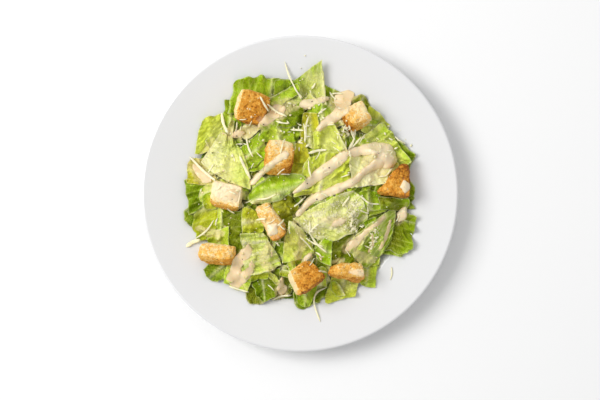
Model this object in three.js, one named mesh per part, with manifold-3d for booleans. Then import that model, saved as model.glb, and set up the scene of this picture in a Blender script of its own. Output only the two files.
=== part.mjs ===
// A caesar salad on its dinner plate: a mound of chopped romaine in the plate's
// well, with toasted bread croutons bedded in the top of the mound.
// Millimetres, +Z up. The origin is the centre of the plate's foot, on the table.
import * as THREE from "three";
import { mergeVertices } from "three/addons/utils/BufferGeometryUtils.js";
import Module from "manifold-3d";

const wasm = await Module();
wasm.setup();

// ---- Driving dimensions ----

const CONTACT_GAP = 0.3; // kept between pieces that rest on each other
const FACET_SLACK = 0.3; // more of it where both faces are curved and faceted

const PLATE = {
  radius: 133, // a dinner plate just under 27 cm across
  lipHeight: 26, // top of the lip
  rimInnerRadius: 95, // where the cove turns into the rim
  rimInnerHeight: 18, // upper face there
  wellRadius: 76, // edge of the flat well
  wellHeight: 8, // upper face of the well
  wall: 4.6, // thickness of the well and of the cove
  lip: 1.9, // radius of the rounded lip
  footRadius: 70, // middle of the foot ring
  footWidth: 5,
  footHeight: 3, // how far the foot stands below the base
  segments: 72,
};

const MOUND = {
  edgeHeight: 17.5, // where the dome would meet the rim
  rise: 26.5, // from there to the crown
  domeRadius: 100,
  domePower: 0.9, // 1 is a paraboloid, less is fuller at the edge
  edgeThickness: 3.2, // the outermost leaf edges, above the plate
  sectors: 66,
  topRings: 15,
  bottomRings: 8,
  bottomStep: 0.035, // share of the radius between two of them
  leafCount: 46, // leaf steps in its surface
  leafHalfLength: 30,
  leafHalfWidth: 21,
  leafStep: 5.5, // how far a leaf stands over what it lies on
};

// Outline of the mound: its radius every 15 degrees, anticlockwise from +X.
const OUTLINE = [
  94, 96, 98, 94, 92, 104, 98, 102, 102, 95, 98, 95, 97, 97, 99, 101, 95, 94,
  95, 94, 97, 90, 101, 101,
];

// Croutons: place of the centre in plan, how far the centre stands above the
// dome, size before tilting, and turns about X, Y and Z in degrees. Where a crouton
// was cut askew, pull says how far its four upright edges move in plan, in the
// order left near, right near, left far, right far.
const CROUTONS = [
  { at: [-41, 71], lift: 5, size: [25, 26, 21], turn: [3, 14, -17] },
  { at: [-17, 30], lift: 6.5, size: [24, 25, 21], turn: [-24, 4, -4] },
  { at: [47, 64], lift: 4, size: [21, 19, 18], turn: [-16, 12, 24] },
  {
    at: [79, 11],
    lift: 3,
    size: [27, 28, 15],
    turn: [-8, 9, -2],
    pull: [[-3, 2], [0, 0], [16, -2], [0, 0]],
  },
  { at: [-60.5, -1.5], lift: 4.5, size: [25, 21, 17], turn: [-14, -6, -14] },
  {
    at: [-24, -23],
    lift: 4,
    size: [31, 16, 15],
    turn: [10, 6, -59],
    pull: [[0, 2], [0, 0], [0, -1], [1, 1]],
  },
  {
    at: [-70, -50.5],
    lift: 3,
    size: [29, 16, 16],
    turn: [-18, -3, -12],
    pull: [[1, 1], [0, 0], [1, 0], [0, 0]],
  },
  { at: [4.5, -70], lift: 4.5, size: [25, 23, 20], turn: [-8, 13, 31] },
  {
    at: [39, -65],
    lift: 4,
    size: [31, 16, 15],
    turn: [-20, 6, -6],
    pull: [[0, 3], [-1, 1], [2, -4], [-3, 0]],
  },
];
const CRUMB = {
  edgeRadius: 4, // rounding of a crouton's edges
  segments: 4, // along each edge
  unevenness: 1.8, // how far a corner strays from a true cuboid
};

// ---- Helpers ----

const radians = THREE.MathUtils.degToRad;

// A repeatable number from -1 to 1 for any whole number.
function uneven(n) {
  const s = Math.sin(n * 127.1 + 11.7) * 43758.5453;
  return 2 * (s - Math.floor(s)) - 1;
}

function material(color, roughness) {
  return new THREE.MeshStandardMaterial({ color, roughness, metalness: 0 });
}

// A geometry's shared vertices merged, as a solid that can be cut.
function solidOf(geometry) {
  const bare = geometry.clone();
  bare.deleteAttribute("normal");
  bare.deleteAttribute("uv");
  const merged = mergeVertices(bare, 1e-3);
  return new wasm.Manifold(
    new wasm.Mesh({
      numProp: 3,
      vertProperties: merged.attributes.position.array,
      triVerts: new Uint32Array(merged.index.array),
    }),
  );
}

function geometryOf(solid) {
  const mesh = solid.getMesh();
  const geometry = new THREE.BufferGeometry();
  const points = new THREE.BufferAttribute(mesh.vertProperties, 3);
  geometry.setAttribute("position", points);
  geometry.setIndex(new THREE.BufferAttribute(mesh.triVerts, 1));
  return geometry.toNonIndexed();
}

// ---- Plate ----

// Height of the plate's upper face at a radius: flat well, S-shaped cove, rim
// that climbs gently to the lip.
function plateTop(r) {
  const p = PLATE;
  if (r <= p.wellRadius) return p.wellHeight;
  if (r < p.rimInnerRadius) {
    const t = (r - p.wellRadius) / (p.rimInnerRadius - p.wellRadius);
    const ease = t * t * (3 - 2 * t);
    return p.wellHeight + (p.rimInnerHeight - p.wellHeight) * ease;
  }
  const t = (r - p.rimInnerRadius) / (p.radius - p.rimInnerRadius);
  return p.rimInnerHeight + (p.lipHeight - p.rimInnerHeight) * t;
}

// The underside runs a wall's thickness below, thinner towards the lip.
function plateUnder(r) {
  const p = PLATE;
  const t = Math.max(0, (r - p.rimInnerRadius) / (p.radius - p.rimInnerRadius));
  const thickness = THREE.MathUtils.lerp(p.wall, 2 * p.lip, t);
  return plateTop(r) - thickness;
}

function plateGeometry() {
  const p = PLATE;
  const lipCentre = p.radius - p.lip;
  const base = p.footHeight;
  const profile = [];
  const add = (r, z) => profile.push(new THREE.Vector2(r, z));

  // Underside, from the middle out: base, foot ring, cove, rim.
  add(0, base);
  add(p.footRadius - p.footWidth / 2 - 2, base);
  add(p.footRadius - p.footWidth / 2, 0);
  add(p.footRadius + p.footWidth / 2, 0);
  add(p.footRadius + p.footWidth / 2 + 1.5, base);
  const underSteps = [80, 84, 88, 92, 96, 109, 119, 127];
  underSteps.forEach((r) => add(r, plateUnder(r)));

  // Rounded lip, from underneath round to the top.
  const lipZ = plateTop(lipCentre) - p.lip;
  for (let i = 0; i <= 5; i++) {
    const a = radians(-80 + i * 36);
    add(lipCentre + p.lip * Math.cos(a), lipZ + p.lip * Math.sin(a));
  }

  // Upper face, from the lip in.
  const upperSteps = [127, 111, 97, 94, 91, 88, 86, 84, 82, 80, 78, 76, 40];
  upperSteps.forEach((r) => add(r, plateTop(r)));
  add(0, p.wellHeight);

  const lathe = new THREE.LatheGeometry(profile, p.segments);
  return lathe.rotateX(Math.PI / 2); // the lathe turns about Y
}

// ---- Mound of romaine ----

// Smooth dome that the leaves lie on.
function dome(x, y) {
  const t = Math.min(1, (x * x + y * y) / MOUND.domeRadius ** 2);
  return MOUND.edgeHeight + MOUND.rise * (1 - t) ** MOUND.domePower;
}

function outlineRadius(angle) {
  const n = OUTLINE.length;
  const at = (((angle / (2 * Math.PI)) * n) % n + n) % n;
  const i = Math.floor(at);
  const t = at - i;
  const ease = t * t * (3 - 2 * t);
  return THREE.MathUtils.lerp(OUTLINE[i], OUTLINE[(i + 1) % n], ease);
}

// Leaves laid out on a sunflower spiral, each turned its own way.
const LEAVES = Array.from({ length: MOUND.leafCount }, (_, i) => {
  const r = 92 * Math.sqrt((i + 0.5) / MOUND.leafCount);
  const a = i * radians(137.5);
  return {
    x: r * Math.cos(a),
    y: r * Math.sin(a),
    turn: a + 1.2 * uneven(i),
    length: MOUND.leafHalfLength * (1 + 0.25 * uneven(i + 100)),
    width: MOUND.leafHalfWidth * (1 + 0.25 * uneven(i + 200)),
  };
});

// How far the leaves stand over the dome: each is a tilted oval, cupped up
// towards its tip, and the highest one at a point is the one that shows.
function leafRelief(x, y) {
  let relief = 0;
  for (const leaf of LEAVES) {
    const dx = x - leaf.x;
    const dy = y - leaf.y;
    const along = dx * Math.cos(leaf.turn) + dy * Math.sin(leaf.turn);
    const across = dy * Math.cos(leaf.turn) - dx * Math.sin(leaf.turn);
    const s = along / leaf.length;
    const t = across / leaf.width;
    const inside = 1 - s * s - t * t;
    if (inside <= 0) continue;
    const cupped = 0.55 + 0.45 * s + 0.25 * t * t;
    relief = Math.max(relief, MOUND.leafStep * cupped * inside ** 0.25);
  }
  return relief;
}

function moundTop(x, y, share) {
  const r = Math.hypot(x, y);
  const floor = plateTop(r) + CONTACT_GAP + MOUND.edgeThickness;
  const lifted = dome(x, y) + leafRelief(x, y) - MOUND.leafStep / 2;
  const fade = Math.min(1, (1 - share) * 6); // the last ring comes down to the edge
  return floor + Math.max(0, lifted - floor) * fade;
}

// Closed shell on a polar grid: the leafy top, a low edge, and an underside that
// follows the plate.
function moundGeometry() {
  const m = MOUND;
  const points = [];
  const rings = [];
  const ring = (share, height) => {
    const first = points.length / 3;
    for (let j = 0; j < m.sectors; j++) {
      const a = (2 * Math.PI * j) / m.sectors;
      const r = share * outlineRadius(a);
      const x = r * Math.cos(a);
      const y = r * Math.sin(a);
      points.push(x, y, height(x, y, share));
    }
    rings.push(first);
  };
  const under = (x, y) => plateTop(Math.hypot(x, y)) + CONTACT_GAP + FACET_SLACK;
  for (let i = 1; i <= m.topRings; i++) ring(i / m.topRings, moundTop);
  for (let i = 0; i < m.bottomRings; i++) ring(1 - m.bottomStep * i, under);

  const crown = points.length / 3;
  points.push(0, 0, moundTop(0, 0, 0));
  const floor = points.length / 3;
  points.push(0, 0, under(0, 0));

  const faces = [];
  const last = rings[rings.length - 1];
  for (let j = 0; j < m.sectors; j++) {
    const k = (j + 1) % m.sectors;
    faces.push(crown, rings[0] + j, rings[0] + k);
    faces.push(floor, last + k, last + j);
    for (let i = 0; i + 1 < rings.length; i++) {
      const [a, b] = [rings[i], rings[i + 1]];
      faces.push(a + j, b + j, b + k, a + j, b + k, a + k);
    }
  }
  const geometry = new THREE.BufferGeometry();
  geometry.setAttribute("position", new THREE.Float32BufferAttribute(points, 3));
  geometry.setIndex(faces);
  return geometry;
}

// ---- Croutons ----

// A torn-edged bread cube: a box whose eight corners stray a little, with its
// edges rounded by pulling every point in to the corner spheres.
function croutonGeometry(crouton, seed, grow = 0) {
  const [w, d, h] = crouton.size;
  const pull = crouton.pull ?? [[0, 0], [0, 0], [0, 0], [0, 0]];
  const n = CRUMB.segments;
  const box = new THREE.BoxGeometry(w, d, h, n, n, n);
  const position = box.getAttribute("position");
  const point = new THREE.Vector3();
  const core = new THREE.Vector3();
  const half = new THREE.Vector3(w / 2, d / 2, h / 2);
  const inner = half.clone().subScalar(CRUMB.edgeRadius);
  const corner = (ix, iy, iz, axis) =>
    CRUMB.unevenness * uneven(seed * 31 + ix * 4 + iy * 2 + iz + axis * 8) +
    (axis < 2 ? pull[ix + 2 * iy][axis] : 0);

  for (let i = 0; i < position.count; i++) {
    point.fromBufferAttribute(position, i);
    const u = point.clone().divide(half).multiplyScalar(0.5).addScalar(0.5);
    core.copy(point).clamp(inner.clone().negate(), inner);
    point.sub(core).setLength(CRUMB.edgeRadius + grow).add(core);
    for (let axis = 0; axis < 3; axis++) {
      let shift = 0;
      for (let c = 0; c < 8; c++) {
        const [ix, iy, iz] = [c & 1, (c >> 1) & 1, (c >> 2) & 1];
        const weight =
          (ix ? u.x : 1 - u.x) * (iy ? u.y : 1 - u.y) * (iz ? u.z : 1 - u.z);
        shift += weight * corner(ix, iy, iz, axis);
      }
      point.setComponent(axis, point.getComponent(axis) + shift);
    }
    position.setXYZ(i, point.x, point.y, point.z);
  }
  return box;
}

function place(object, crouton) {
  const [x, y] = crouton.at;
  object.position.set(x, y, dome(x, y) + crouton.lift);
  object.rotation.set(...crouton.turn.map(radians), "ZYX");
  object.updateMatrix();
  return object;
}

// ---- The salad on its plate ----

const salad = new THREE.Group();

const plate = new THREE.Mesh(plateGeometry(), material(0xf3f3f4, 0.18));
plate.name = "plate";
salad.add(plate);

// Each crouton beds into the mound, so its own shape is cut out of the leaves.
let mound = solidOf(moundGeometry());
CROUTONS.forEach((crouton, i) => {
  const bread = new THREE.Mesh(
    croutonGeometry(crouton, i),
    material(0xd9a259, 0.85),
  );
  bread.name = `crouton_${i + 1}`;
  salad.add(place(bread, crouton));

  const pocket = croutonGeometry(crouton, i, CONTACT_GAP);
  pocket.applyMatrix4(bread.matrix);
  mound = mound.subtract(solidOf(pocket));
});

const romaine = new THREE.Mesh(geometryOf(mound), material(0x9cba4e, 0.5));
romaine.name = "romaine";
salad.add(romaine);

export default salad;
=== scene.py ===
"""Caesar salad on its dinner plate.

Lengths inside the shape functions are millimetres, and become metres when a mesh is
made. The heap is built from the plate up: every leaf, crouton, run of dressing and
shred of cheese is laid on a height map of what is already there, and adds to it.
"""

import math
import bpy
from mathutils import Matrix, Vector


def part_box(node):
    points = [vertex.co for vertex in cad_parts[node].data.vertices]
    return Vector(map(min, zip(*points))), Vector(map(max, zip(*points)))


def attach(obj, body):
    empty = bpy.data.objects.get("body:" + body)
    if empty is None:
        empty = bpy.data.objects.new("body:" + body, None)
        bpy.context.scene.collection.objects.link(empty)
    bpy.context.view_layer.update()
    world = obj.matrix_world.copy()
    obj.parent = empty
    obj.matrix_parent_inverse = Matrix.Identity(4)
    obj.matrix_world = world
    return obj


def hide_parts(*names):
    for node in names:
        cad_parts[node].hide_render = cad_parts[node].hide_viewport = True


bl_info = {
    "name": "Caesar Salad",
    "version": (1, 0, 0),
    "blender": (4, 5, 0),
    "location": "View3D > Sidebar > Salad",
    "description": "Builds a caesar salad on a white plate from surfaces",
    "category": "Add Mesh",
}

from dataclasses import dataclass

import bpy
import numpy as np
from bpy.props import (
    FloatProperty,
    FloatVectorProperty,
    IntProperty,
    PointerProperty,
)

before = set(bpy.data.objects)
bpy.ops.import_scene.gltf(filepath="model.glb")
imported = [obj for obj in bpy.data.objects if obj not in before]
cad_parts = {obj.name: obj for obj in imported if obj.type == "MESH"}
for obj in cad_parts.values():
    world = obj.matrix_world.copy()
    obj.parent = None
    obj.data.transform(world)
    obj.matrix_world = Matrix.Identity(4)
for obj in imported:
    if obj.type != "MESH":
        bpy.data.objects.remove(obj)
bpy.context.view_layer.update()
PLATE_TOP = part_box("plate")[1]

MM = 0.001
CROUTONS = sorted(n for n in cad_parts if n.startswith("crouton"))

# The heap's overall dome, in mm.
DOME_EDGE = 17.5  # where it would meet the rim
DOME_RISE = 26.5  # from there to the crown
DOME_RADIUS = 100
DOME_POWER = 0.9  # 1 is a paraboloid, less is fuller at the edge

BED_GAP = 0.3  # between the plate and the food

GOLDEN_TURN = 137.5  # degrees from one seed of a sunflower to the next


# ---------------------------------------------------------------------------
# Settings


def colour(name, description, red, green, blue):
    """A colour setting, given as screen values from 0 to 255 and kept linear."""
    screen = np.array([red, green, blue]) / 255
    linear = np.where(screen < 0.04045, screen / 12.92, ((screen + 0.055) / 1.055) ** 2.4)
    return FloatVectorProperty(
        name=name,
        description=description,
        subtype="COLOR",
        size=3,
        min=0,
        max=1,
        default=tuple(float(c) for c in linear),
    )


def length(name, description, metres, low=0.0, high=1.0):
    """A length setting, in metres."""
    return FloatProperty(
        name=name,
        description=description,
        default=metres,
        min=low,
        max=high,
        unit="LENGTH",
        precision=4,
    )


class PlateSettings(bpy.types.PropertyGroup):
    radius: length("Radius", "From the middle to the outside of the lip", round(PLATE_TOP.x, 3))
    lip_height: length("Lip height", "Top of the lip above the table", round(PLATE_TOP.z, 3))
    rim_inner_radius: length("Rim inner radius", "Where the cove meets the rim", 0.095)
    rim_inner_height: length("Rim inner height", "Upper face there", 0.018)
    well_radius: length("Well radius", "Edge of the flat well", 0.076)
    well_height: length("Well height", "Upper face of the well", 0.008)
    wall: length("Wall", "Thickness of the well and of the cove", 0.0046)
    lip: length("Lip", "Radius of the rounded lip", 0.0019)
    foot_radius: length("Foot radius", "Middle of the foot ring", 0.070)
    foot_width: length("Foot width", "Width of the flat it stands on", 0.005)
    foot_height: length("Foot height", "How far it stands below the base", 0.003)
    glaze: colour("Glaze", "Colour of the glazed porcelain", 230, 230, 231)


class RomaineSettings(bpy.types.PropertyGroup):
    thickness: length("Thickness", "Thickness of a leaf's blade", 0.0006)
    vein_spacing: length("Vein spacing", "Between two side veins of a leaf", 0.0075)
    mesh_step: length("Mesh step", "Between two mesh lines of a leaf", 0.0007)
    underleaves: IntProperty(
        name="Leaves underneath",
        description="Number of small pieces packed under the top leaves",
        default=64,
        min=0,
    )
    scraps: IntProperty(
        name="Scraps",
        description="Number of strips and chips between the large leaves",
        default=84,
        min=0,
    )
    cream: colour("Cream", "Ribs and the heart's palest blades", 250, 242, 200)
    pale: colour("Pale", "Blades near the heart", 232, 232, 142)
    lime: colour("Lime", "Young yellow-green blades", 216, 228, 78)
    fresh: colour("Fresh", "Middle blades", 190, 217, 64)
    leafy: colour("Leaf green", "Outer blades", 152, 186, 22)
    deep: colour("Deep green", "Outermost blades", 114, 145, 2)
    olive: colour("Olive", "Older yellowed blades", 204, 198, 44)
    straw: colour("Straw", "Yellowed blades near the heart", 216, 210, 108)
    # dark is partly the deep green of leaves low in the heap and partly painted shade: the bottom
    # of the heap and leaves in dark hollows take it.
    dark: colour("Dark", "Pieces deep in the heap", 104, 112, 0)
    # Partly dressing smeared on the leaves and partly a painted sheen: the whitish gloss put on
    # crests and strokes.
    milky_and_sheen: colour("Milky", "Faint smears of dressing on a leaf", 248, 240, 202)
    glazed: colour("Glazed", "Film of dressing lying on a leaf", 236, 217, 164)


class CroutonSettings(bpy.types.PropertyGroup):
    mesh_step: length("Mesh step", "Voxel size of the bread's surface", 0.0005)
    pore: length("Pore", "Usual width of a pore in the crumb", 0.0010)
    crumb: colour("Crumb", "Untoasted inside of the bread", 254, 232, 178)
    golden: colour("Golden", "Lightly fried faces", 246, 190, 90)
    toasted: colour("Toasted", "Well fried faces and edges", 220, 148, 48)
    burnt: colour("Burnt", "Darkest spots on the edges", 138, 70, 12)
    glazed: colour("Glazed", "Film of dressing lying on the bread", 252, 234, 200)


class DressingSettings(bpy.types.PropertyGroup):
    mesh_step: length("Mesh step", "Voxel size of the dressing's surface", 0.0005)
    height: FloatProperty(
        name="Height",
        description="Height of a run, as a share of its width",
        default=0.17,
        min=0,
        max=1,
    )
    drops: IntProperty(
        name="Drops",
        description="Number of small drops beside the runs",
        default=60,
        min=0,
    )
    cream: colour("Cream", "Colour of the dressing", 250, 229, 190)
    # Partly the food showing through thin dressing and partly painted shade on the pools.
    stained_and_shaded: colour("Stained", "Where it is thin and the food shows through", 222, 192, 138)


class CheeseSettings(bpy.types.PropertyGroup):
    width: length("Shred width", "Usual width of a grated shred", 0.0013)
    loose_shreds: IntProperty(
        name="Loose shreds",
        description="Number of short shreds scattered over the heap",
        default=54,
        min=0,
    )
    crumbs: IntProperty(
        name="Crumbs",
        description="Number of fine crumbs scattered over the heap",
        default=260,
        min=0,
    )
    ivory: colour("Ivory", "Colour of the hard cheese", 253, 247, 212)


class PepperSettings(bpy.types.PropertyGroup):
    grains: IntProperty(
        name="Grains",
        description="Number of cracked pepper grains",
        default=46,
        min=0,
    )
    black: colour("Black", "Colour of the cracked pepper", 58, 44, 32)


class StageSettings(bpy.types.PropertyGroup):
    camera_height: length("Camera height", "Above the table, looking down", 1.126, 0, 5)
    camera_offset: length("Camera offset", "Towards the near side", 0.0055)
    lens: FloatProperty(
        name="Lens",
        description="Focal length of the camera",
        default=78.65,
        min=1,
        unit="CAMERA",
    )
    floor: colour("Floor", "Colour of the table", 249, 249, 249)
    sky: FloatProperty(
        name="Sky",
        description="Strength of the even light from all round",
        default=0.54,
        min=0,
    )
    window: FloatProperty(
        name="Window",
        description="Power of the lamp on the far left",
        default=28.5,
        min=0,
        unit="POWER",
    )
    overhead: FloatProperty(
        name="Overhead",
        description="Power of the lamp above the far side",
        default=3.5,
        min=0,
        unit="POWER",
    )


SETTINGS = {
    "salad_plate": PlateSettings,
    "salad_romaine": RomaineSettings,
    "salad_crouton": CroutonSettings,
    "salad_dressing": DressingSettings,
    "salad_cheese": CheeseSettings,
    "salad_pepper": PepperSettings,
    "salad_stage": StageSettings,
}


# ---------------------------------------------------------------------------
# Shapes


def ease(low, high, value):
    """0 below low, 1 above high, and a smooth S between."""
    t = np.clip((value - low) / (high - low), 0, 1)
    return t * t * (3 - 2 * t)


def ripple(x, y, size, seed, waves=7):
    """Smooth unevenness, mostly from -1 to 1: a sum of sine waves that run in random
    directions, with wavelengths around size."""
    rng = np.random.default_rng(seed)
    total = 0
    for _ in range(waves):
        turn, phase = rng.uniform(0, 2 * math.pi, 2)
        pitch = size * rng.uniform(0.7, 1.6)
        along = x * math.cos(turn) + y * math.sin(turn)
        total = total + np.sin(2 * math.pi * along / pitch + phase)
    return total / math.sqrt(waves * 1.2)


def upper_of(a, b, blend):
    """The higher of two surfaces, with the crease between them rounded off."""
    return (a + b + np.sqrt((a - b) ** 2 + blend * blend)) / 2


def averaged(z, passes):
    """A grid of heights after each has been averaged with its neighbours."""
    for _ in range(passes):
        e = np.pad(z, 1, mode="edge")
        z = (e[:-2, 1:-1] + e[2:, 1:-1] + e[1:-1, :-2] + e[1:-1, 2:] + 2 * z) / 6
    return z


def level_ground(x, y):
    """No height anywhere."""
    return 0 * x


class HeightMap:
    """How high the food stands, on a 1 mm grid in plan."""

    reach = 125

    def __init__(self, height):
        axis = np.arange(-self.reach, self.reach + 1.0)
        x, y = np.meshgrid(axis, axis, indexing="ij")
        self.z = height(x, y)

    def at(self, x, y):
        """Heights at points in plan, worked out between the four nearest cells."""
        top = 2 * self.reach - 1e-6
        x = np.clip(x + self.reach, 0, top)
        y = np.clip(y + self.reach, 0, top)
        i, j = x.astype(int), y.astype(int)
        a, b = x - i, y - j
        low = self.z[i, j] * (1 - a) + self.z[i + 1, j] * a
        high = self.z[i, j + 1] * (1 - a) + self.z[i + 1, j + 1] * a
        return low * (1 - b) + high * b

    def lay_points(self, points):
        """Raises the cells under some points to their heights."""
        cell = np.clip(np.rint(points[..., :2] + self.reach), 0, 2 * self.reach)
        cell = cell.astype(int)
        np.maximum.at(self.z, (cell[..., 0], cell[..., 1]), points[..., 2])

    def lay_sheet(self, sheet):
        """Raises the cells under a grid of points and the points between them."""
        self.lay_points(sheet)
        self.lay_points((sheet[1:] + sheet[:-1]) / 2)
        self.lay_points((sheet[:, 1:] + sheet[:, :-1]) / 2)
        self.lay_points((sheet[1:, 1:] + sheet[:-1, :-1]) / 2)

    def softened(self, passes):
        """The same heap seen through a stiff sheet: a smoothed copy."""
        copy = HeightMap(level_ground)
        copy.z = averaged(self.z.copy(), passes)
        return copy

    def bridged(self, reach, passes):
        """The same heap with its narrow hollows filled: raised to the highest cell
        within reach, lowered again to the lowest of those, then smoothed."""
        copy = HeightMap(level_ground)
        z = self.z.copy()
        for pick in [np.maximum] * reach + [np.minimum] * reach:
            e = np.pad(z, 1, mode="edge")
            nearby = pick(pick(e[:-2, 1:-1], e[2:, 1:-1]), pick(e[1:-1, :-2], e[1:-1, 2:]))
            z = pick(z, nearby)
        copy.z = averaged(z, passes)
        return copy


def dome(x, y):
    """The heap's overall shape: a dome that falls from its crown as a power of the
    paraboloid over its radius."""
    bowl = np.clip(1 - (x * x + y * y) / DOME_RADIUS**2, 0, 1)
    return DOME_EDGE + DOME_RISE * bowl**DOME_POWER


def plate_top(r, plate):
    """Upper face of the plate by radius: level well, S-shaped cove, and a rim that
    climbs in a straight line to the lip."""
    well, rim = plate.well_height / MM, plate.rim_inner_height / MM
    cove = ease(plate.well_radius / MM, plate.rim_inner_radius / MM, r)
    span = (plate.radius - plate.rim_inner_radius) / MM
    climb = np.clip((r - plate.rim_inner_radius / MM) / span, 0, 1)
    return well + (rim - well) * cove + (plate.lip_height / MM - rim) * climb


def plate_profile(plate):
    """The plate's section, from the middle of its base round the foot, underside,
    lip and upper face back to the middle, as (radius, height)."""
    radius, lip, wall = plate.radius / MM, plate.lip / MM, plate.wall / MM
    foot, flat, base = (
        plate.foot_radius / MM,
        plate.foot_width / MM / 2,
        plate.foot_height / MM,
    )
    end = radius - lip

    def under(r):
        cove = plate.rim_inner_radius / MM
        thin = np.clip((r - cove) / (end - cove), 0, 1)
        return plate_top(r, plate) - wall + (wall - 2 * lip) * thin

    # The base dips into the foot ring through two small rounds.
    inner_round, outer_round = 2, 2.2
    turn = np.linspace(0, math.pi / 2, 7)
    inside = np.stack(
        [
            foot - flat - inner_round + inner_round * np.sin(turn) ** 1.5,
            base * np.cos(turn) ** 1.5,
        ],
        1,
    )
    outside = np.stack(
        [foot + flat + outer_round * (1 - np.cos(turn)), base * np.sin(turn) ** 1.3], 1
    )
    below = np.linspace(foot + flat + 3.4, end - 0.5, 34)
    around = np.linspace(-math.pi / 2, math.pi / 2, 15)
    centre = float(plate_top(end, plate)) - lip
    above = np.linspace(end - 0.5, plate.well_radius / MM - 2, 48)
    return np.concatenate(
        [
            [[0, base], [foot - flat - 8, base]],
            inside,
            outside,
            np.stack([below, under(below)], 1),
            np.stack([end + lip * np.cos(around), centre + lip * np.sin(around)], 1),
            np.stack([above, plate_top(above, plate)], 1),
            [[60, plate.well_height / MM], [20, plate.well_height / MM]],
            [[0, plate.well_height / MM]],
        ]
    )


def turned(profile, count):
    """A profile turned about the Z axis. Its first and last points are on the axis,
    where each becomes a single vertex. Gives vertices and faces."""
    angle = np.linspace(0, 2 * math.pi, count, endpoint=False)
    inner = profile[1:-1]
    x = inner[:, :1] * np.cos(angle)
    y = inner[:, :1] * np.sin(angle)
    z = np.broadcast_to(inner[:, 1:], x.shape)
    body = np.stack([x, y, z], -1).reshape(-1, 3)
    ends = [[0, 0, profile[0, 1]], [0, 0, profile[-1, 1]]]
    return np.concatenate([body, ends]), tube_faces(len(inner), count)


def shell_faces(rows, columns):
    """Faces of a closed sheet: an upper grid, a lower grid turned over, and a strip
    that joins their edges all round."""
    i, j = np.meshgrid(np.arange(rows - 1), np.arange(columns - 1), indexing="ij")
    upper = np.stack(
        [
            i * columns + j,
            i * columns + j + 1,
            (i + 1) * columns + j + 1,
            (i + 1) * columns + j,
        ],
        -1,
    ).reshape(-1, 4)
    below = rows * columns
    rim = np.concatenate(
        [
            np.arange(columns - 1),
            np.arange(rows - 1) * columns + columns - 1,
            (rows - 1) * columns + np.arange(columns - 1, 0, -1),
            np.arange(rows - 1, 0, -1) * columns,
        ]
    )
    onward = np.roll(rim, -1)
    strip = np.stack([rim, rim + below, onward + below, onward], 1)
    return np.concatenate([upper, upper[:, ::-1] + below, strip])


def tube_faces(stations, sides):
    """Faces of a closed bar: rings of points joined along it, and a fan at each end
    to an extra point. The two end points follow the rings."""
    i, j = np.meshgrid(np.arange(stations - 1), np.arange(sides), indexing="ij")
    k = (j + 1) % sides
    wall = np.stack(
        [i * sides + j, i * sides + k, (i + 1) * sides + k, (i + 1) * sides + j], -1
    ).reshape(-1, 4)
    around = np.arange(sides)
    following = (around + 1) % sides
    first, last = stations * sides, stations * sides + 1
    end = (stations - 1) * sides
    start_fan = np.stack([np.full(sides, first), following, around], 1)
    end_fan = np.stack([np.full(sides, last), end + around, end + following], 1)
    return wall, start_fan, end_fan


def smooth_path(points, step):
    """A curve through the points, at even steps: each stretch is a cubic whose
    slopes come from the points on either side. Extra columns are carried along."""
    p = np.asarray(points, float)
    p = np.concatenate([2 * p[:1] - p[1:2], p, 2 * p[-1:] - p[-2:-1]])
    parts = []
    for a, b, c, d in zip(p[:-3], p[1:-2], p[2:-1], p[3:]):
        t = np.linspace(0, 1, 24, endpoint=False)[:, None]
        parts.append(
            b
            + t * (c - a) / 2
            + t**2 * (2 * a - 5 * b + 4 * c - d) / 2
            + t**3 * (3 * b - a - 3 * c + d) / 2
        )
    curve = np.concatenate(parts + [p[-2:-1]])
    travelled = np.concatenate(
        [[0], np.cumsum(np.linalg.norm(np.diff(curve[:, :2], axis=0), axis=1))]
    )
    count = max(4, int(travelled[-1] / step) + 1)
    at = np.linspace(0, travelled[-1], count)
    return np.stack([np.interp(at, travelled, c) for c in curve.T], 1)


def beside(path, offset):
    """Points in plan to the left of each point of a path, by a row of offsets."""
    way = np.gradient(path[:, :2], axis=0)
    way /= np.linalg.norm(way, axis=1, keepdims=True) + 1e-9
    return path[:, :1] - way[:, 1:] * offset, path[:, 1:2] + way[:, :1] * offset


class Batch:
    """Many closed shells gathered into one mesh."""

    def __init__(self):
        self.vertices, self.faces, self.extras, self.count = [], [], {}, 0

    def add(self, vertices, faces, **extras):
        """Adds a shell: vertices in mm, one or more arrays of faces, and named
        values for each vertex."""
        self.vertices.append(vertices)
        for group in faces:
            self.faces.append(group + self.count)
        for name, values in extras.items():
            self.extras.setdefault(name, []).append(values)
        self.count += len(vertices)

    def joined(self, name):
        """Makes the gathered shells one smooth object in the scene."""
        vertices = np.concatenate(self.vertices) * MM
        sizes = np.concatenate([np.full(len(f), f.shape[1]) for f in self.faces])
        corners = np.concatenate([f.reshape(-1) for f in self.faces]).astype(np.int32)
        starts = np.concatenate([[0], np.cumsum(sizes)[:-1]]).astype(np.int32)
        mesh = bpy.data.meshes.new(name)
        mesh.vertices.add(len(vertices))
        mesh.vertices.foreach_set("co", vertices.astype(np.float32).ravel())
        mesh.loops.add(len(corners))
        mesh.loops.foreach_set("vertex_index", corners)
        mesh.polygons.add(len(sizes))
        mesh.polygons.foreach_set("loop_start", starts)
        mesh.update(calc_edges=True)
        for extra, parts in self.extras.items():
            values = np.concatenate(parts).astype(np.float32)
            if values.shape[1] == 2:
                layer = mesh.uv_layers.new(name=extra)
                layer.data.foreach_set("uv", values[corners].ravel())
            else:
                paint(mesh, extra, values)
        mesh.shade_smooth()
        mesh.validate()
        return placed(name, mesh)

    def piece(self, name, material, slot, replaces=()):
        """Makes the gathered shells one finished piece."""
        finish(self.joined(name), material, replaces)


def paint(mesh, name, values):
    """Gives a mesh's vertices a named attribute of four values each."""
    layer = mesh.attributes.new(name, "FLOAT_COLOR", "POINT")
    layer.data.foreach_set("color", values.astype(np.float32).ravel())


def placed(name, mesh):
    """An object in the scene, at the origin."""
    piece = bpy.data.objects.new(name, mesh)
    bpy.context.scene.collection.objects.link(piece)
    return piece


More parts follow.
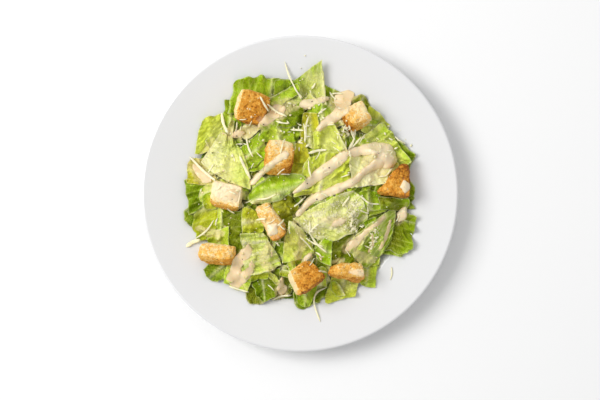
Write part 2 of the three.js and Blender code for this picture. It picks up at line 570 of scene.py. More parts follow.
def finish(piece, material, replaces=()):
    """Gives an object its material, and sets what it rides on and which solids it stands for."""
    piece.data.materials.clear()
    piece.data.materials.append(material)
    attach(piece, "root")
    if replaces:
        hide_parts(*replaces)


def applied(piece):
    """A new mesh of an object with its modifiers applied. They are then removed."""
    depsgraph = bpy.context.evaluated_depsgraph_get()
    mesh = bpy.data.meshes.new_from_object(piece.evaluated_get(depsgraph))
    piece.modifiers.clear()
    return mesh


def voxelled(piece, size):
    """Fuses an object's overlapping shells into one skin of even small faces."""
    remesh = piece.modifiers.new("Fuse", "REMESH")
    remesh.mode = "VOXEL"
    remesh.voxel_size = size
    remesh.use_smooth_shade = True
    rough = piece.data
    piece.data = applied(piece)
    bpy.data.meshes.remove(rough)
    piece.data.name = piece.name


def averaged_points(piece, passes):
    """An object's points after each has been averaged with its neighbours many
    times, which leaves flat faces where they are and draws edges and corners in."""
    smooth = piece.modifiers.new("Average", "SMOOTH")
    smooth.factor = 0.5
    smooth.iterations = passes
    mesh = applied(piece)
    points = points_of(mesh)
    bpy.data.meshes.remove(mesh)
    return points


def points_of(mesh, key="co"):
    """Positions or normals of a mesh's vertices, as an array."""
    values = np.zeros(len(mesh.vertices) * 3, np.float32)
    if key == "normal":
        mesh.vertex_normals.foreach_get("vector", values)
    else:
        mesh.vertices.foreach_get("co", values)
    return values.reshape(-1, 3).astype(float)


# ---------------------------------------------------------------------------
# Materials


class Shader:
    """A material's node tree, written as calls."""

    def __init__(self, name):
        self.material = bpy.data.materials.new(name)
        self.material.use_nodes = True
        self.tree = self.material.node_tree
        self.surface = self.tree.nodes["Principled BSDF"]

    def put(self, socket, value):
        """Links a socket to an input, or sets the input to a value."""
        if isinstance(value, bpy.types.NodeSocket):
            self.tree.links.new(value, socket)
        elif value is not None:
            socket.default_value = value

    def node(self, kind, inputs=(), **settings):
        """A node with some settings and inputs, where an input is a name or a
        number and a value or a socket."""
        made = self.tree.nodes.new(kind)
        for key, value in settings.items():
            setattr(made, key, value)
        for key, value in dict(inputs).items():
            self.put(made.inputs[key], value)
        return made

    def math(self, operation, a, b=None, c=None):
        """The result of a sum, product or other operation."""
        made = self.node("ShaderNodeMath", operation=operation)
        for socket, value in zip(made.inputs, (a, b, c)):
            self.put(socket, value)
        return made.outputs[0]

    def ramp(self, value, low, high, start=0.0, end=1.0):
        """Value taken from low..high to start..end along a smooth S."""
        made = self.node(
            "ShaderNodeMapRange",
            {"Value": value, "From Min": low, "From Max": high, "To Min": start, "To Max": end},
            interpolation_type="SMOOTHSTEP",
        )
        return made.outputs["Result"]

    def mix(self, share, a, b):
        """A colour that is a where share is 0, and b where it is 1."""
        made = self.node("ShaderNodeMix", data_type="RGBA")
        self.put(made.inputs[0], share)
        for socket, value in ((made.inputs[6], a), (made.inputs[7], b)):
            if not isinstance(value, bpy.types.NodeSocket):
                value = (*value, 1)
            self.put(socket, value)
        return made.outputs[2]

    def object_point(self):
        """Where the surface is, in metres."""
        return self.node("ShaderNodeTexCoord").outputs["Object"]

    def uv(self, name):
        """Where it is on one of the piece's own maps."""
        return self.node("ShaderNodeUVMap", uv_map=name).outputs[0]

    def attribute(self, name):
        """The first three values of a painted attribute."""
        made = self.node("ShaderNodeAttribute", attribute_name=name)
        split = self.node("ShaderNodeSeparateColor", {"Color": made.outputs["Color"]})
        return split.outputs["Red"], split.outputs["Green"], split.outputs["Blue"]

    def noise(self, place, scale, detail=3.0, roughness=0.5):
        """Cloudy unevenness around 0.5."""
        made = self.node(
            "ShaderNodeTexNoise",
            {"Vector": place, "Scale": scale, "Detail": detail, "Roughness": roughness},
        )
        return made.outputs["Fac"]

    def cells(self, place, scale, feature="DISTANCE_TO_EDGE"):
        """Distance to the edges of random cells, or with F1 to their middles."""
        made = self.node(
            "ShaderNodeTexVoronoi", {"Vector": place, "Scale": scale}, feature=feature
        )
        return made.outputs["Distance"]

    def bump(self, height, distance, strength):
        """A normal for fine relief, distance metres from low to high."""
        made = self.node(
            "ShaderNodeBump", {"Height": height, "Distance": distance, "Strength": strength}
        )
        return made.outputs[0]

    def finish(self, **sockets):
        """Sets the shader's inputs, named with underscores for spaces."""
        for name, value in sockets.items():
            self.put(self.surface.inputs[name.replace("_", " ")], value)
        return self.material


def porcelain(plate):
    """Clear-glazed white porcelain, a little wavy, bare and rough under the foot."""
    s = Shader("porcelain")
    iron_speck, bare_body = (0.62, 0.60, 0.55), (0.66, 0.63, 0.57)
    place = s.object_point()
    height = s.node("ShaderNodeSeparateXYZ", {"Vector": place}).outputs["Z"]
    bare = s.ramp(height, 0.0009, 0.0004)
    speck = s.ramp(s.noise(place, 900, 2), 0.70, 0.78, 0, 0.05)
    tone = s.mix(speck, plate.glaze, iron_speck)
    waves = s.noise(place, 26, 2)
    return s.finish(
        Base_Color=s.mix(bare, tone, bare_body),
        Roughness=s.ramp(bare, 0, 1, 0.13, 0.75),
        Normal=s.bump(waves, 0.0004, 0.25),
        Specular_IOR_Level=0.5,
    )


def romaine_blade():
    """Wet leaf: the blade's own colour, paler side veins and a fine net of veins between them,
    puckered, with a film of dressing in patches. Along its raised streaks it carries a painted
    highlight, and in the low ones painted shade towards a dark green that also mottles it at
    random."""
    s = Shader("romaine_blade")
    sap_green_and_shade, vein_lime, dried_cream = (0.09, 0.16, 0.001), (0.86, 0.90, 0.11), (0.88, 0.78, 0.44)
    blade = s.uv("Blade")
    veins = s.node("ShaderNodeSeparateXYZ", {"Vector": s.uv("Veins")})
    leaf = s.node("ShaderNodeAttribute", attribute_name="leaf_colour")
    colour_here, veined = leaf.outputs["Color"], leaf.outputs["Alpha"]
    place = s.object_point()

    def line(value, width):
        """1 on whole numbers of value, fading to 0 within width."""
        away = s.math("PINGPONG", value, 0.5)
        return s.ramp(away, width, 0.0)

    side = line(veins.outputs["X"], 0.09)
    cross = line(veins.outputs["Y"], 0.07)
    net = s.ramp(s.cells(blade, 3.4), 0.12, 0.0)
    run = s.node("ShaderNodeMapping", {"Vector": s.uv("Veins"), "Scale": (3.2, 0.5, 1.0)})
    streaks = s.noise(run.outputs[0], 1.7, 3, 0.5)
    mottle = s.noise(place, 330, 4, 0.6)
    broad = s.noise(place, 70, 2)

    shade = s.mix(0.5, colour_here, sap_green_and_shade)
    # Painted shade: the low streaks, which the bump below also sinks, go towards the dark green.
    darker = s.math("MULTIPLY", s.ramp(streaks, 0.50, 0.30, 0.0, 0.45), veined)
    tone = s.mix(s.ramp(mottle, 0.45, 0.75, 0.0, 0.2), colour_here, shade)
    tone = s.mix(darker, tone, shade)
    pale = s.mix(0.5, colour_here, vein_lime)
    share = s.math("MULTIPLY", side, 0.85)
    share = s.math("MAXIMUM", share, s.math("MULTIPLY", cross, 0.6))
    share = s.math("MAXIMUM", share, s.math("MULTIPLY", net, 0.5))
    # Painted highlight: the raised streaks take the pale vein colour.
    share = s.math("MAXIMUM", share, s.ramp(streaks, 0.56, 0.74, 0.0, 0.6))
    tone = s.mix(s.math("MULTIPLY", share, veined), tone, pale)

    smear = s.ramp(s.noise(place, 200, 4, 0.6), 0.63, 0.74, 0, 0.09)
    tone = s.mix(smear, tone, dried_cream)

    relief = s.math("MULTIPLY", s.math("SUBTRACT", 1.0, net), 0.7)
    relief = s.math("ADD", relief, s.math("MULTIPLY", mottle, 0.7))
    relief = s.math("ADD", relief, s.math("MULTIPLY", streaks, 1.6))
    relief = s.math("SUBTRACT", relief, s.math("MULTIPLY", side, 0.6))
    relief = s.math("SUBTRACT", relief, s.math("MULTIPLY", cross, 0.3))
    relief = s.math("MULTIPLY", relief, s.math("MULTIPLY_ADD", veined, 0.6, 0.4))
    return s.finish(
        Base_Color=tone,
        Roughness=s.ramp(broad, 0.3, 0.7, 0.18, 0.36),
        Normal=s.bump(relief, 0.0006, 0.9),
        Subsurface_Weight=0.2,
        Subsurface_Radius=(0.9, 1.0, 0.1),
        Subsurface_Scale=0.0008,
        Specular_IOR_Level=0.35,
        Specular_Tint=(0.9, 1.0, 0.15, 1),
        Coat_Weight=0.04,
        Coat_Roughness=0.12,
    )


def shaded_leaf(romaine):
    """Leaf deep in the heap, dark to deep green: partly its own colour and partly painted shade,
    darkest in its low folds.
    """
    s = Shader("shaded_leaf")
    place = s.object_point()
    folds = s.noise(place, 90, 5, 0.6)
    # Painted shade: the low folds, which the bump also sinks, take the dark colour.
    tone = s.mix(s.ramp(folds, 0.3, 0.7), romaine.dark, romaine.deep)
    return s.finish(
        Base_Color=tone,
        Roughness=0.5,
        Normal=s.bump(folds, 0.003, 0.9),
    )


def toasted_bread(crouton):
    """Fried bread: pale porous crumb, golden to brown crust, oily and rough, with painted shade in
    its pores and painted light and shade on its faces.
    """
    s = Shader("toasted_bread")
    place = s.object_point()
    # The first value is the bread's browning plus painted light and shade on its faces.
    toast, pit, glazed = s.attribute("toast")
    fine = s.noise(place, 700, 5, 0.65)
    patches = s.noise(place, 260, 4, 0.6)
    uneven = s.ramp(patches, 0.28, 0.72, -0.34, 0.34)
    uneven = s.math("MULTIPLY", uneven, s.ramp(toast, 0.0, 0.7, 0.45, 1.0))
    level = s.math("ADD", toast, uneven)
    level = s.math("ADD", level, s.ramp(fine, 0.3, 0.7, -0.2, 0.2))
    tone = s.mix(s.ramp(level, 0.0, 0.45), crouton.crumb, crouton.golden)
    tone = s.mix(s.ramp(level, 0.42, 0.90), tone, crouton.toasted)
    tone = s.mix(s.ramp(level, 0.90, 1.30, 0, 0.9), tone, crouton.burnt)
    # Painted shade in the pores: the shader's pores and the pits in the skin are browned towards
    # the burnt colour, more on the more toasted faces.
    holes = s.ramp(s.cells(place, 900, "F1"), 0.40, 0.10)
    browned = s.math("MAXIMUM", s.math("MULTIPLY", pit, 0.9), s.math("MULTIPLY", holes, 0.35))
    browned = s.math("MULTIPLY", browned, s.ramp(toast, -0.1, 0.8, 0.25, 1.0))
    tone = s.mix(browned, tone, s.mix(0.75, tone, crouton.burnt))
    cover = s.math("ADD", glazed, s.ramp(patches, 0.3, 0.7, -0.2, 0.2))
    cover = s.ramp(cover, 0.25, 0.9, 0.0, 0.75)
    tone = s.mix(cover, tone, crouton.glazed)
    grain = s.math("SUBTRACT", s.math("MULTIPLY", fine, 1.2), holes)
    return s.finish(
        Base_Color=tone,
        Roughness=s.ramp(cover, 0, 1, 0.6, 0.3),
        Normal=s.bump(grain, 0.0004, 0.8),
        Specular_IOR_Level=0.4,
        Specular_Tint=(1.0, 0.75, 0.35, 1),
        Subsurface_Weight=0.12,
        Subsurface_Radius=(1.0, 0.5, 0.2),
        Subsurface_Scale=0.0012,
    )


def creamy_dressing(dressing):
    """Thick creamy dressing, glossy, with fine herb and pepper flecks."""
    s = Shader("creamy_dressing")
    spice, herb_fleck = (0.80, 0.60, 0.36), (0.16, 0.12, 0.05)
    place = s.object_point()
    cloud = s.noise(place, 130, 3)
    fleck = s.ramp(s.cells(place, 420, "F1"), 0.14, 0.09)
    rare = s.ramp(s.noise(place, 300, 1), 0.56, 0.64)
    depth, low, _ = s.attribute("depth")
    thin = s.math("MULTIPLY", s.ramp(depth, 0.9, 0.2), s.ramp(cloud, 0.25, 0.75, 0.3, 0.8))
    # Pools take more of the stained colour: partly the tan of thin dressing and partly painted
    # shade where they lie low and in shadow.
    pool = s.math("MULTIPLY", low, s.ramp(cloud, 0.25, 0.75, 0.25, 0.65))
    thin = s.math("MAXIMUM", thin, pool)
    tone = s.mix(s.ramp(cloud, 0.3, 0.7, 0, 0.12), dressing.cream, spice)
    tone = s.mix(thin, tone, dressing.stained_and_shaded)
    tone = s.mix(s.math("MULTIPLY", fleck, rare), tone, herb_fleck)
    return s.finish(
        Base_Color=tone,
        Roughness=0.34,
        Normal=s.bump(s.noise(place, 420, 3), 0.0003, 0.35),
        Subsurface_Weight=0.35,
        Subsurface_Radius=(1.0, 0.7, 0.4),
        Subsurface_Scale=0.0015,
        Coat_Weight=0.1,
        Coat_Roughness=0.16,
    )


def hard_cheese(cheese):
    """Grated hard cheese: ivory, waxy, with a crystalline grain."""
    s = Shader("hard_cheese")
    place = s.object_point()
    straw_yellow = (0.84, 0.72, 0.36)
    grain = s.noise(place, 800, 4, 0.6)
    tone = s.mix(s.ramp(grain, 0.3, 0.7, 0, 0.5), cheese.ivory, straw_yellow)
    return s.finish(
        Base_Color=tone,
        Roughness=0.42,
        Normal=s.bump(grain, 0.0003, 0.5),
        Subsurface_Weight=0.3,
        Subsurface_Radius=(1.0, 0.9, 0.5),
        Subsurface_Scale=0.001,
    )


def cracked_pepper(pepper):
    """Cracked black pepper: dark wrinkled skin with pale broken insides."""
    s = Shader("cracked_pepper")
    place = s.object_point()
    pale_inside = (0.24, 0.16, 0.08)
    broken = s.ramp(s.noise(place, 1500, 2), 0.56, 0.66)
    return s.finish(
        Base_Color=s.mix(broken, pepper.black, pale_inside),
        Roughness=0.75,
        Normal=s.bump(s.noise(place, 2500, 3), 0.0002, 0.6),
    )


def table_top(stage):
    """Plain pale matt floor."""
    s = Shader("table_top")
    return s.finish(
        Base_Color=(*stage.floor, 1),
        Roughness=0.9,
        Specular_IOR_Level=0.0,
    )


# ---------------------------------------------------------------------------
# Romaine


@dataclass
class Leaf:
    """A torn or chopped piece of leaf.

    corners: base left, base right, tip right, tip left, in plan, anticlockwise
    inner, outer: colours near the rib and at the edges
    green: how far the base, left, right and tip take the outer colour
    rib: where the midrib runs, from -1 at the left edge to 1 at the right, and how
      broad it is in mm
    rounding: how far the corners at the base and at the tip are rounded, 0 to 1
    ruffle: wave height of the left, right and tip edges in mm
    lift: how far each corner stands up
    cup: how far the sides curl up over the middle, or down if negative
    blister: height of the puckers between veins
    crumple: height of the slow crumples and of the folds across them
    film: how strongly smears of dressing whiten it, 0 to 1; the smears are partly a painted sheen
    slant: how far along the rib a side vein gets while it goes 1 across
    bow: how far the base, right, tip and left sides bulge outwards in mm
    ridges: height of the ridges that run along it, and how strongly their crests take a painted
    highlight and the dips between them painted shade
    veined: how strongly the veins and the fine grain show, 0 to 1
    """

    corners: list
    inner: str
    outer: str
    green: tuple = (0.2, 0.5, 0.5, 0.6)
    rib: tuple = (0, 2)
    rounding: tuple = (0.1, 0.4)
    ruffle: tuple = (1.5, 1.5, 1.5)
    lift: tuple = (0, 0, 0, 0)
    cup: float = 1.0
    blister: float = 0.5
    crumple: float = 1.0
    film: float = 0.0
    slant: float = 0.8
    bow: tuple = (0, 0, 0, 0)
    ridges: float = 0.3
    veined: float = 0.8


# Round the edge of the heap, from the lowest up.
OUTER_LEAVES = [
    Leaf([(-58, 40), (-58, 68), (-82, 64), (-91, 31)], "pale", "lime", (0.4, 0.6, 0.5, 0.8),
         rib=(1.6, 2), ruffle=(1, 1.5, 2), lift=(0, 0, 4, 1), ridges=0.4, veined=0.6),
    Leaf([(-64, 54), (-54, 46), (-52, 80), (-64, 80)], "lime", "leafy", (0.6, 0.6, 0.6, 0.6)),
    Leaf([(-60, 68), (-14, 66), (-12, 98), (-56, 99)], "fresh", "leafy", (0.5, 0.6, 0.6, 0.9),
         rib=(0.5, 2), rounding=(0, 0.75), ruffle=(2.5, 2, 3.5), lift=(0, 0, 5, 5),
         cup=-1.5, blister=0.7, ridges=0.5, veined=0.6),
    Leaf([(-24, 62), (4, 66), (-1, 97), (-21, 96)], "pale", "leafy", (0.5, 0.3, 0.6, 0.6),
         rib=(1.4, 2), lift=(0, 0, 2, 4), blister=0.5),
    Leaf([(13, 70), (32, 66), (38, 83), (20, 94)], "lime", "leafy", (0.6, 0.6, 0.6, 0.8)),
    Leaf([(-14, 70), (23, 74), (18.5, 112), (-7, 93)], "pale", "leafy", (0.3, 0.7, 0.1, 0.4),
         rib=(0.93, 2.2), rounding=(0, 0.05), ruffle=(1, 0.3, 1), lift=(0, 2, 9, 3),
         cup=2, blister=0.45, crumple=1, film=0.25, ridges=0.6),
    Leaf([(50, 52), (70, 44), (78, 58), (57, 76)], "pale", "lime", (0.3, 0.4, 0.4, 0.5),
         rounding=(0.1, 0.5), lift=(0, 0, 2, 6)),
    Leaf([(48, 46), (72, 12), (95, 26), (70, 61)], "pale", "fresh", (0.2, 0.3, 0.3, 0.6),
         rib=(-1.5, 2), rounding=(0.1, 0.45), ruffle=(2, 2, 3), lift=(0, 0, 5, 4),
         blister=0.5, crumple=0.8, slant=0.3, ridges=0.9, veined=0.7),
    Leaf([(62, 2), (60, -16), (97, -13), (95, 0)], "dark", "deep", (0.1, 0.1, 0.2, 0.6),
         rib=(1.5, 1), ruffle=(2, 2, 4), lift=(0, 0, 4, 1), blister=0.9, veined=0.4),
    Leaf([(72, -8), (64, -46), (93, -54), (99, -19)], "dark", "leafy", (0.1, 0.1, 0.2, 0.5),
         rib=(-0.6, 1.2), rounding=(0, 0.5), ruffle=(1.5, 2.5, 4), lift=(0, 0, 3, 5),
         cup=2, blister=0.9, ridges=0.4, veined=0.5),
    Leaf([(66, -52), (50, -58), (47, -77), (64, -80)], "lime", "fresh", (0.2, 0.6, 0.4, 0.6),
         ruffle=(1.5, 2, 2)),
    Leaf([(50, -70), (26, -70), (20, -93), (48, -88)], "pale", "lime", (0.3, 0.5, 0.7, 0.9),
         ruffle=(2, 2, 2.5), lift=(0, 0, 3, 0), blister=0.7),
    Leaf([(16, -74), (-6, -76), (-2, -95), (10, -96)], "fresh", "leafy", (0.5, 0.5, 0.6, 0.8),
         rounding=(0, 0.8), ruffle=(1, 1, 1.5), cup=2),
    Leaf([(-16, -62), (-42, -68), (-36, -92), (-16, -88)], "dark", "deep", (0.4, 0.4, 0.6, 0.5),
         rib=(0.3, 1), rounding=(0, 0.7), ruffle=(2.5, 2.5, 4), lift=(0, 0, 3, 4), cup=2.5,
         blister=1.2, veined=0.5),
    Leaf([(-54, -60), (-66, -54), (-83, -64), (-70, -78)], "fresh", "deep", (0.5, 0.6, 0.8, 0.8),
         ruffle=(2, 2, 3)),
    Leaf([(-40, -60), (-60, -56), (-66, -76), (-43, -85)], "pale", "fresh", (0.5, 0.5, 0.5, 0.7),
         ruffle=(1, 1, 0.6), lift=(0, 0, 1, 2), blister=0.4),
    Leaf([(-56, -34), (-72, -4), (-92, -16), (-88, -42)], "olive", "leafy", (0.3, 0.4, 0.3, 0.2),
         rib=(0.8, 3), ruffle=(0.8, 3, 2), lift=(0, 3, 2, 0), blister=0.6, ridges=0.5,
         veined=0.6),
    Leaf([(-70, -4), (-68, 14), (-98, 12), (-94, -20)], "leafy", "deep", (0.2, 0.95, 0.0, 0.3),
         rib=(0.9, 1.6), ruffle=(2, 1.5, 2.5), lift=(0, 4, 5, 0), cup=-2, blister=0.3,
         ridges=0.9, veined=0.4),
    Leaf([(-68, 6), (-74, 30), (-94, 30), (-97, 8)], "pale", "olive", (0.4, 0.8, 0.4, 0.6),
         ruffle=(1, 1, 2), lift=(0, 3, 3, 0)),
]

# The middle of the heap, from the lowest up.
MIDDLE_LEAVES = [
    Leaf([(-66, -12), (-62, -48), (-46, -54), (-44, -14)], "dark", "deep", (0.2, 0.2, 0.3, 0.2),
         rib=(1.5, 1), blister=1.1, ruffle=(2, 2, 2), veined=0.4),
    Leaf([(-60, -28), (-78, -32), (-78, -46), (-58, -50)], "lime", "leafy", (0.2, 0.4, 0.6, 0.6)),
    Leaf([(-62, 30), (-42, 20), (-26, 30), (-30, 54)], "fresh", "leafy", (0.5, 0.7, 0.7, 0.9),
         ruffle=(3, 3, 3), blister=1.0),
    Leaf([(-34, 42), (0, 42), (-2, 64), (-34, 60)], "lime", "leafy", (0.4, 0.7, 0.6, 0.9),
         ruffle=(3, 3, 3.5), lift=(0, 0, 2, 2), blister=1.0),
    Leaf([(-20, 54), (6, 56), (3, 72), (-15, 76)], "deep", "dark", (0.3, 0.3, 0.3, 0.3),
         rib=(1.5, 1), blister=0.9, veined=0.5),
    Leaf([(4, 58), (32, 58), (32, 75), (6, 74)], "lime", "leafy", (0.6, 0.8, 0.7, 0.9),
         ruffle=(2, 2, 2.5), lift=(0, 0, 3, 1)),
    Leaf([(0, 38), (16, 36), (15, 68), (2, 68)], "fresh", "olive", (0.4, 0.7, 0.7, 0.7),
         crumple=1.6),
    Leaf([(-12, 8), (10, 8), (6, 44), (-4, 44)], "fresh", "olive", (0.6, 0.8, 0.8, 0.7),
         rib=(1.4, 2), ruffle=(1, 1.5, 1.5)),
    Leaf([(11, 31), (40, 34), (28, 60), (11, 50)], "pale", "lime", (0.3, 0.7, 0.2, 0.6),
         rib=(1.02, 2.4), rounding=(0, 0.1), ruffle=(0.4, 0.3, 0.6), lift=(1, 3, 6, 3),
         cup=1, blister=0.15, crumple=0.4, ridges=0.25, veined=0.35),
    Leaf([(-6, -4), (42, 6), (42, 36), (6, 32)], "pale", "lime", (0.5, 0.8, 0.7, 0.7),
         rib=(-0.1, 1.6), ruffle=(1.5, 2, 1.5), crumple=1.1, ridges=0.5, veined=0.6),
    Leaf([(42, 4), (71, 8), (81, 33), (40, 38)], "cream", "pale", (0.2, 0.6, 0.6, 0.6),
         rib=(0, 5), ruffle=(0.8, 0.8, 0.8), blister=0.3, crumple=0.8, film=0.5,
         veined=0.3),
    Leaf([(-22, -2), (-24, -28), (-2, -30), (-2, -2)], "olive", "dark", (0.5, 0.3, 0.6, 0.5),
         rib=(1.5, 1), ruffle=(3, 3, 3), blister=0.9, crumple=1.6, veined=0.5),
    Leaf([(-48, -12), (-48, -36), (-30, -34), (-32, -12)], "olive", "leafy", (0.2, 0.2, 0.3, 0.3),
         ruffle=(1.5, 2, 1.5), blister=0.8),
    Leaf([(24, -34), (24, -62), (46, -60), (46, -32)], "dark", "deep", (0.2, 0.3, 0.3, 0.3),
         rib=(1.5, 1), blister=0.9, veined=0.5),
    Leaf([(38, -44), (56, -64), (77, -38), (81, -10)], "fresh", "deep", (0.2, 0.3, 0.3, 0.2),
         rib=(1.1, 1.2), rounding=(0, 0.15), ruffle=(1.5, 0.5, 1), lift=(1, 2, 3, 6),
         cup=-2, blister=0.3, film=0.15, slant=2.6, bow=(1, 2, 1, 2), ridges=1.0,
         veined=0.35),
    Leaf([(46, -16), (70, -14), (66, 4), (48, 3)], "fresh", "leafy", (0.3, 0.7, 0.7, 0.9),
         rounding=(0.2, 0.9), ruffle=(1.5, 1.5, 2), cup=2, blister=0.7),
    Leaf([(66, -3), (66, -14), (90, -15), (93, -4)], "dark", "leafy", (0.1, 0.1, 0.1, 0.7),
         rib=(1.5, 1), rounding=(0, 0.5), ruffle=(1, 1, 2), blister=0.6, veined=0.4),
]

# The large pieces on top, from the lowest up.
TOP_LEAVES = [
    Leaf([(-84, 26), (-41, 3), (-54, 44), (-65, 53)], "pale", "fresh", (0.0, 0.0, 0.55, 0.2),
         rib=(-0.9, 14), rounding=(0.05, 0.1), ruffle=(0.6, 1.0, 0.8), lift=(2, 2, 2, 3),
         cup=1.5, blister=0.15, crumple=0.6, bow=(3, 4, 0, 0), ridges=0.9, veined=0.6),
    Leaf([(-44, -2), (-39, -10), (3, 7), (4, 15)], "fresh", "leafy", (1.0, 0.6, 0.6, 0.3),
         rib=(0.5, 1.5), rounding=(0.2, 0.3), ruffle=(0.8, 1.2, 1), lift=(1, 0, 3, 4),
         cup=-4, blister=0.25, crumple=1.0, film=0.12, bow=(1, 4, 1, 9), ridges=1.0,
         veined=0.4),
    Leaf([(-7, -21), (20, -41), (58, -21), (46, 5)], "pale", "fresh", (0.0, 0.1, 0.2, 0.75),
         rib=(-0.15, 5), rounding=(0.1, 0.25), ruffle=(0.6, 0.6, 1.2), lift=(3, 3, 2, 3),
         cup=1, blister=0.2, crumple=1.1, film=0.8, bow=(2, 4, 1, 1), ridges=0.45,
         veined=0.7),
    Leaf([(-50, -33), (-45, -70), (-13, -61), (-30, -32)], "pale", "fresh", (0.2, 0.5, 0.5, 0.3),
         rib=(-0.5, 2), rounding=(0, 0.2), ruffle=(0.6, 1.2, 1), lift=(4, 1, 2, 3),
         cup=1, blister=0.35, crumple=0.8, film=0.5, slant=0.3, ridges=1.0, veined=1.0),
    Leaf([(-9, -23), (-15, -58), (12, -50), (5, -34)], "straw", "fresh", (0.1, 0.4, 0.5, 0.3),
         rib=(-0.9, 2), rounding=(0, 0.15), ruffle=(0.4, 0.8, 0.8), lift=(4, 0, 0, 2),
         bow=(1, 1, 2, 2), blister=0.25, crumple=0.6, ridges=0.5, veined=1.0),
    Leaf([(20, -37), (12, -46), (26, -60), (27, -39)], "fresh", "leafy", (0.4, 0.5, 0.5, 0.5),
         rounding=(0, 0.1), ruffle=(0.4, 0.4, 0.4), lift=(2, 1, 2, 2), bow=(0, 4, 0, 0),
         blister=0.3, ridges=0.3, veined=0.4),
]


class LeafGrid:
    """A leaf's mesh lines in plan, with u across it and v along it, both -1 to 1.

    The square of u and v is pulled towards a circle by the rounding, and laid between
    the four corners, with sides that bow out as parabolas. right and tip say how far a
    point is towards those sides, 0 to 1, edge how near it is to any side, across and
    along how many mm it is from the rib and from the base, and rib how much it is
    part of the rib: a bell curve over a width that narrows towards the tip.
    """

    def __init__(self, leaf, step):
        a, b, c, d = np.array(leaf.corners, float)
        if np.cross(c - a, d - b) <= 0:
            raise ValueError(f"The corners of a leaf run clockwise: {leaf.corners}")
        long = np.linalg.norm((c + d - a - b) / 2)
        wide = (np.linalg.norm(b - a) + np.linalg.norm(c - d)) / 2
        rows, columns = max(8, int(long / step)), max(8, int(wide / step))
        v, u = np.meshgrid(np.linspace(-1, 1, rows), np.linspace(-1, 1, columns), indexing="ij")
        rounding = np.where(v > 0, leaf.rounding[1], leaf.rounding[0])
        round_u = u * np.sqrt(1 - rounding * v * v / 2)
        round_v = v * np.sqrt(1 - rounding * u * u / 2)
        self.u, self.v = u, v
        self.right, self.tip = (1 + round_u) / 2, (1 + round_v) / 2
        self.edge = np.maximum(np.abs(u), np.abs(v))
        self.across = (round_u - leaf.rib[0]) * wide / 2
        self.along = (round_v + 1) * long / 2
        self.rib = np.exp(-((self.across / (leaf.rib[1] * (1.25 - 0.75 * self.tip))) ** 2))

        right, tip = self.right[..., None], self.tip[..., None]
        over_u, over_v = (1 - round_u**2)[..., None], (1 - round_v**2)[..., None]
        self.plan = (1 - tip) * ((1 - right) * a + right * b) + tip * ((1 - right) * d + right * c)
        sides = [
            (a, b, (1 - tip) * over_u),
            (b, c, right * over_v),
            (c, d, tip * over_u),
            (d, a, (1 - right) * over_v),
        ]
        for bow, (start, end, share) in zip(leaf.bow, sides):
            side = (end - start) / np.linalg.norm(end - start)
            self.plan = self.plan + bow * share * np.array([side[1], -side[0]])

    def place(self):
        """Where the points are in plan."""
        return self.plan[..., 0], self.plan[..., 1]


def ruffle_edges(leaf, grid, seed):
    """Moves the outline of a leaf in and out, and gives how far its edges stand up
    and down: sine waves along the left, right and tip edges, with an uneven pitch,
    that fade inwards, and a finer nibble in and out."""
    rng = np.random.default_rng(seed)
    pitch = rng.uniform(11, 16)
    phases = rng.uniform(0, 2 * math.pi, 6)

    def wave(distance, n):
        slow = 1.5 * np.sin(distance * 2 * math.pi / (pitch * 2.3) + phases[n + 3])
        return np.sin(distance * 2 * math.pi / pitch + phases[n] + slow)

    across, along = grid.across, grid.along
    left = ease(0.3, 1.0, -grid.u) * leaf.ruffle[0]
    right = ease(0.3, 1.0, grid.u) * leaf.ruffle[1]
    tip = ease(0.3, 1.0, grid.v) * leaf.ruffle[2]
    up = left * wave(along, 0) + right * wave(along, 1) + tip * wave(across, 2)
    out = left * wave(along * 0.8 + 3, 1) + right * wave(along * 0.8, 2)
    out = out + tip * wave(across * 0.8 + 2, 0)

    x, y = grid.place()
    nibble = 0.5 * ripple(x, y, 13, seed + 5) + 0.14 * ripple(x, y, 4, seed + 7)
    nibble = ease(0.55, 1.0, grid.edge) * nibble
    outwards = grid.plan - grid.plan.mean((0, 1))
    outwards /= np.linalg.norm(outwards, axis=-1, keepdims=True) + 1e-6
    grid.plan = grid.plan + outwards * (0.38 * out + nibble)[..., None]
    return up


def puckers(leaf, grid, crest, spacing, seed):
    """The relief of a leaf, and its vein numbers, which are whole on a vein.

    Between the side veins, which leave the rib at a slant, and the cross veins the
    blade arches up as the sine of the vein numbers. On that lie wrinkles and broader
    folds that run with the side veins, crests that run along the leaf, and the rib.
    """
    across, along = grid.across, grid.along
    off_rib = np.sqrt(across**2 + 1)
    steep = math.hypot(1, leaf.slant) / 1.28
    side = (along - leaf.slant * off_rib) / (spacing * steep)
    side = side + 0.30 * ripple(across, along, 20, seed + 1)
    cross = (off_rib + 0.3 * along) / (0.72 * spacing) + 0.4 * ripple(across, along, 12, seed + 2)
    arches = np.abs(np.sin(math.pi * side)) ** 0.6
    arches = arches * (0.55 + 0.45 * np.abs(np.sin(math.pi * cross)) ** 0.7)
    wrinkles = 1 - np.abs(ripple(side * 7.5, cross * 1.8, 6, seed + 8))
    folds = 1 - np.abs(ripple(side * spacing, 0.35 * cross * spacing, 15, seed + 11, 5))
    relief = leaf.blister * (arches - 0.45 + 0.85 * (wrinkles - 0.6)) * (1 - 0.8 * grid.rib)
    relief = relief + 0.55 * leaf.crumple * (folds - 0.5) * (1 - 0.6 * grid.rib)
    relief = relief + leaf.ridges * (crest - 0.5) * (1 - 0.6 * grid.rib)
    relief = relief + 0.08 * ripple(*grid.place(), 3.2, seed + 9) + 0.5 * grid.rib
    return relief, np.stack([side, cross], -1)


def blended(a, b, share):
    """Two colours mixed, b by its share."""
    return a * (1 - share) + b * share


